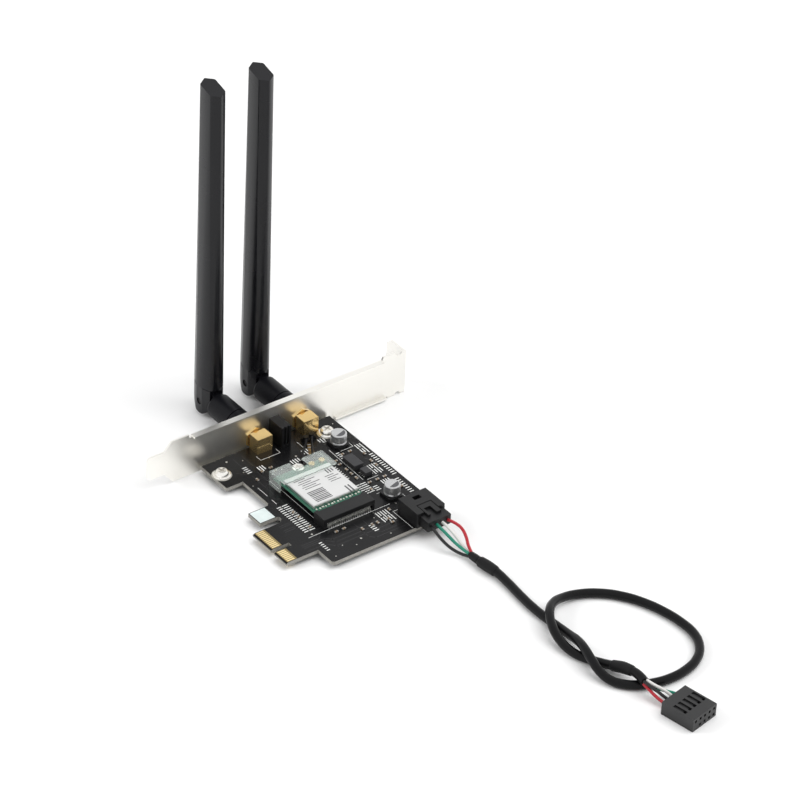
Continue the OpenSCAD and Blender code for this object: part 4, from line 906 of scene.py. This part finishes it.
class WIFICARD_OT_components(bpy.types.Operator):
    """Capacitors, chips and the small parts with their solder ends"""

    bl_idname = "wificard.components"
    bl_label = "Components"

    CANS = ("capacitor_can_near", "capacitor_can_far")
    CHIPS = ("regulator_chip", "power_chip")

    def execute(self, context):
        can = plated("can_aluminium", (0.6, 0.605, 0.61), 0.22, 0.32, (0.05, 0.05, 1),
                     scale=2400, depth=3e-6, second=0.93, metallic=0.8)
        chip = moulded("chip_black", (0.024, 0.024, 0.026), 0.46, 0.58, 6500, 8e-6)
        for node in self.CANS:
            soften(node, can, 0.00008, angle=50)
        soften("capacitor_bases", connector_black())
        self.can_marks()
        for node in self.CHIPS:
            soften(node, chip)
        self.chip_legs()
        self.small_parts()
        return {"FINISHED"}

    def can_marks(self):
        """A dark thin segment on the top of each can."""
        rim, thickness, off_centre = 0.0007, 0.00004, 0.0006
        ink = moulded("mark_grey", (0.07, 0.07, 0.075), 0.5, 0.6)
        shape = bmesh.new()
        for node in self.CANS:
            low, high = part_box(node)
            centre = (low + high) / 2
            disc = add_rod(shape, (centre.x, centre.y, high.z), (high.x - low.x) / 2 - rim,
                           thickness, 40)
            linked = {item: 0 for vert in disc for item in (*vert.link_edges, *vert.link_faces)}
            cut = bmesh.ops.bisect_plane(
                shape, geom=[*disc, *linked], plane_co=centre + Vector((off_centre, 0, 0)),
                plane_no=Vector((1, 0.3, 0)), clear_inner=True)["geom_cut"]
            bmesh.ops.edgeloop_fill(
                shape, edges=[item for item in cut if isinstance(item, bmesh.types.BMEdge)])
        bmesh.ops.recalc_face_normals(shape, faces=shape.faces)
        finish_shape(shape, "can_marks", ink, "chip_black")

    def chip_legs(self):
        """Tinned feet at two sides of both chips."""
        count, leg, over, under = 4, (0.0004, 0.0007, 0.00025), 0.0006, 0.0001
        tin = plated("chip_tin", (0.66, 0.65, 0.62), 0.25, 0.38, scale=1500)
        shape = bmesh.new()
        for node in self.CHIPS:
            low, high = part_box(node)
            for step in range(count):
                x = low.x + (high.x - low.x) * (step + 0.5) / count - leg[0] / 2
                for y in (low.y - over, high.y - under):
                    add_block(shape, (x, y, low.z), leg)
        round_edges(shape, 0.00004, segments=1)
        finish_shape(shape, "chip_legs", tin, "tinned_steel")

    def small_parts(self):
        """Each small part keeps its place, with a tan body and two solder ends."""
        end_share, body_share = 0.24, 0.98
        body = moulded("part_body", (0.16, 0.115, 0.075), 0.42, 0.55, 5000, 5e-6, drift=500,
                       change=1.8)
        tin = plated("part_tin", (0.7, 0.69, 0.66), 0.25, 0.4, scale=1500)
        source = merged_copy("small_parts")
        bodies, ends = bmesh.new(), bmesh.new()
        for island in self.islands(source):
            axes = list(zip(*[vert.co for vert in island]))
            low = Vector([min(axis) for axis in axes])
            size = Vector([max(axis) for axis in axes]) - low
            run = Vector((size.x, 0, 0)) if size.x > size.y else Vector((0, size.y, 0))
            cap = run * end_share
            add_block(bodies, low + cap, (size - 2 * cap) * body_share)
            for corner in (low, low + run - cap):
                add_block(ends, corner, size - run + cap)
        source.free()
        round_edges(bodies, 0.00005, segments=1)
        round_edges(ends, 0.00006)
        finish_shape(bodies, "small_part_bodies", body, "part_ceramic", ["small_parts"])
        finish_shape(ends, "small_part_ends", tin, "tinned_steel")

    def islands(self, shape):
        """The separate solids of a bmesh, each as a list of its vertices."""
        seen = set()
        for start in shape.verts:
            if start in seen:
                continue
            seen.add(start)
            island = [start]
            for vert in island:
                for other in [edge.other_vert(vert) for edge in vert.link_edges]:
                    if other not in seen:
                        seen.add(other)
                        island.append(other)
            yield island


class WIFICARD_OT_module(bpy.types.Operator):
    """The radio module in its socket, its clear clip, and the two coax leads"""

    bl_idname = "wificard.module"
    bl_label = "Radio Module"

    def execute(self, context):
        soften("module_socket", connector_black())
        paint("module_socket_contacts", plated("contact_tin", (0.88, 0.88, 0.85), 0.3, 0.4))
        self.socket_pins()
        soften("module_board", self.green_board(), 0.00003, segments=1)
        shield = plated("tinned_shield", (0.66, 0.67, 0.66), 0.25, 0.36, (0.05, 1, 1),
                        scale=1800)
        soften("module_shield", shield, 0.00016, segments=3)
        paper = moulded("label_paper", (0.68, 0.68, 0.675), 0.42, 0.55, 2600, drift=200,
                        change=0.97)
        soften("module_label", paper, 0.00003, segments=1)
        self.label_bars()
        self.strip_parts()
        soften("module_screw", nickel_plate(), 0.00005, angle=50)
        paint("module_standoff", gold_plate())
        soften("coax_plugs", gold_plate(), 0.0001)
        self.plated_strip()
        soften("clear_clip", self.clear_plastic(), 0.00025, segments=3)
        coax = moulded("coax_black", (0.006, 0.006, 0.0065), 0.32, 0.44, 3000, 5e-6,
                       specular=0.25)
        soften("coax_receptacles", coax, 0.00025, segments=3)
        diameter = context.scene.wifi_card_lead.coax_diameter
        for side, route in COAX_ROUTES.items():
            node = f"coax_lead_{side}"
            tube(f"{node}_strand", route, diameter, coax, "coax_black", [node])
        return {"FINISHED"}

    def socket_pins(self):
        """The upper ends of the contacts, which lie in one face of the module's socket."""
        pitch, margin, lift = 0.0006, 0.0015, 0.0008
        sunk, width, height, proud = 0.0001, 0.00026, 0.0017, 0.00006
        tin = plated("pin_tin", (0.8, 0.8, 0.77), 0.3, 0.4, metallic=0.8)
        low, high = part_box("module_socket")
        shape = bmesh.new()
        for step in range(int((high.y - low.y - 2 * margin) / pitch)):
            add_block(shape, (high.x - sunk, low.y + margin + step * pitch, low.z + lift),
                      (sunk + proud, width, height))
        finish_shape(shape, "socket_pins", tin, "tinned_steel")

    def plated_strip(self):
        """Bare plated run that leads from the right socket, with two solder bridges on it."""
        strip = plated("plated_run", (0.26, 0.18, 0.09), 0.3, 0.42)
        tin = plated("strip_tin", (0.62, 0.61, 0.58), 0.25, 0.36)
        shape, bridges = bmesh.new(), bmesh.new()
        add_strip(shape, [(8.6, 67.9), (16.8, 63.1)], 2.2)
        for x, y in ((12.4, 65.7), (13.9, 64.8)):
            ends = [(x - 0.45, y - 0.8), (x + 0.45, y + 0.8)]
            add_strip(bridges, ends, 0.5, high=0.3, low=0)
        round_edges(bridges, 0.0001)
        finish_shape(shape, "plated_strip", strip, "gold_plate")
        finish_shape(bridges, "strip_bridges", tin, "tinned_steel")

    def green_board(self):
        """Green solder mask, with a paler green at the cut sides."""
        material, tree, shader = new_material("module_green")
        effect = varied(tree, finishes().module_green, 1.4, 400, 3000, 0.28, 0.36)
        side = use_group(tree, cut_side)["Mask"]
        feed(tree, shader, Roughness=effect["Roughness"],
             Base_Color=mix_colour(tree, side, effect["Colour"], (0.06, 0.2, 0.13, 1)),
             Normal=bump(tree, effect["Height"], 4e-6, 0.5))
        return material

    def label_bars(self):
        """Plain grey bars where the real label carries print."""
        sunk, thickness = 0.00001, 0.00003
        grey = moulded("label_grey", (0.06, 0.06, 0.065), 0.5, 0.6)
        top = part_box("module_label")[1].z
        shape = bmesh.new()
        for x, y, length, width in LABEL_BARS:
            corner = card(x, y)
            add_block(shape, (corner.x, corner.y, top - sunk),
                      (length * MM, width * MM, thickness))
        finish_shape(shape, "label_bars", grey, "chip_black")

    def strip_parts(self):
        """A row of tiny pale parts on the bare strip of the module's board."""
        count, pitch, sunk = 15, 1.36, 0.00002
        pale = moulded("strip_part_pale", (0.5, 0.52, 0.46), 0.4, 0.5)
        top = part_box("module_board")[1].z
        shape = bmesh.new()
        for step in range(count):
            corner = card(50.75 + 0.25 * (step % 2), 40.4 + pitch * step)
            add_block(shape, (corner.x, corner.y, top - sunk),
                      Vector((0.75, 0.5 + 0.2 * (step % 3), 0.4)) * MM)
        round_edges(shape, 0.00005, segments=1)
        finish_shape(shape, "strip_parts", pale, "part_ceramic")

    def clear_plastic(self):
        """Clear moulding, which is a little hazy."""
        material, tree, shader = new_material("clear_plastic")
        effect = varied(tree, finishes().clip_tint, 0.96, 90, 900, 0, 0.02)
        feed(tree, shader, Base_Color=effect["Colour"], Roughness=effect["Roughness"],
             Transmission_Weight=0.84, IOR=1.2)
        return material


class WIFICARD_PT_looks(bpy.types.Panel):
    """Lists the steps that dress the card"""

    bl_idname = "WIFICARD_PT_looks"
    bl_label = "Wifi Card"
    bl_space_type = "VIEW_3D"
    bl_region_type = "UI"
    bl_category = "Wifi Card"

    def draw(self, context):
        for step in STEPS:
            self.layout.operator(step.bl_idname)
        for key in HOLDERS:
            holder = getattr(context.scene, key)
            for value in HOLDERS[key].__annotations__:
                self.layout.prop(holder, value)


STEPS = (WIFICARD_OT_stage, WIFICARD_OT_plugs, WIFICARD_OT_lead, WIFICARD_OT_bracket,
         WIFICARD_OT_board, WIFICARD_OT_components, WIFICARD_OT_sockets, WIFICARD_OT_module,
         WIFICARD_OT_antennas)
HOLDERS = {"wifi_card_finishes": CardFinishes, "wifi_card_lead": LeadSizes,
           "wifi_card_studio": StudioValues}
CLASSES = (*HOLDERS.values(), *STEPS, WIFICARD_PT_looks)


def register():
    for item in CLASSES:
        bpy.utils.register_class(item)
    for key, holder in HOLDERS.items():
        setattr(bpy.types.Scene, key, PointerProperty(type=holder))


def unregister():
    for key in HOLDERS:
        delattr(bpy.types.Scene, key)
    for item in reversed(CLASSES):
        bpy.utils.unregister_class(item)


def main():
    register()
    bpy.ops.wificard.stage()
    bpy.ops.wificard.plugs()
    bpy.ops.wificard.lead()
    bpy.ops.wificard.bracket()
    bpy.ops.wificard.board()
    bpy.ops.wificard.components()
    bpy.ops.wificard.sockets()
    bpy.ops.wificard.module()
    bpy.ops.wificard.antennas()


if __name__ == "__main__":
    main()
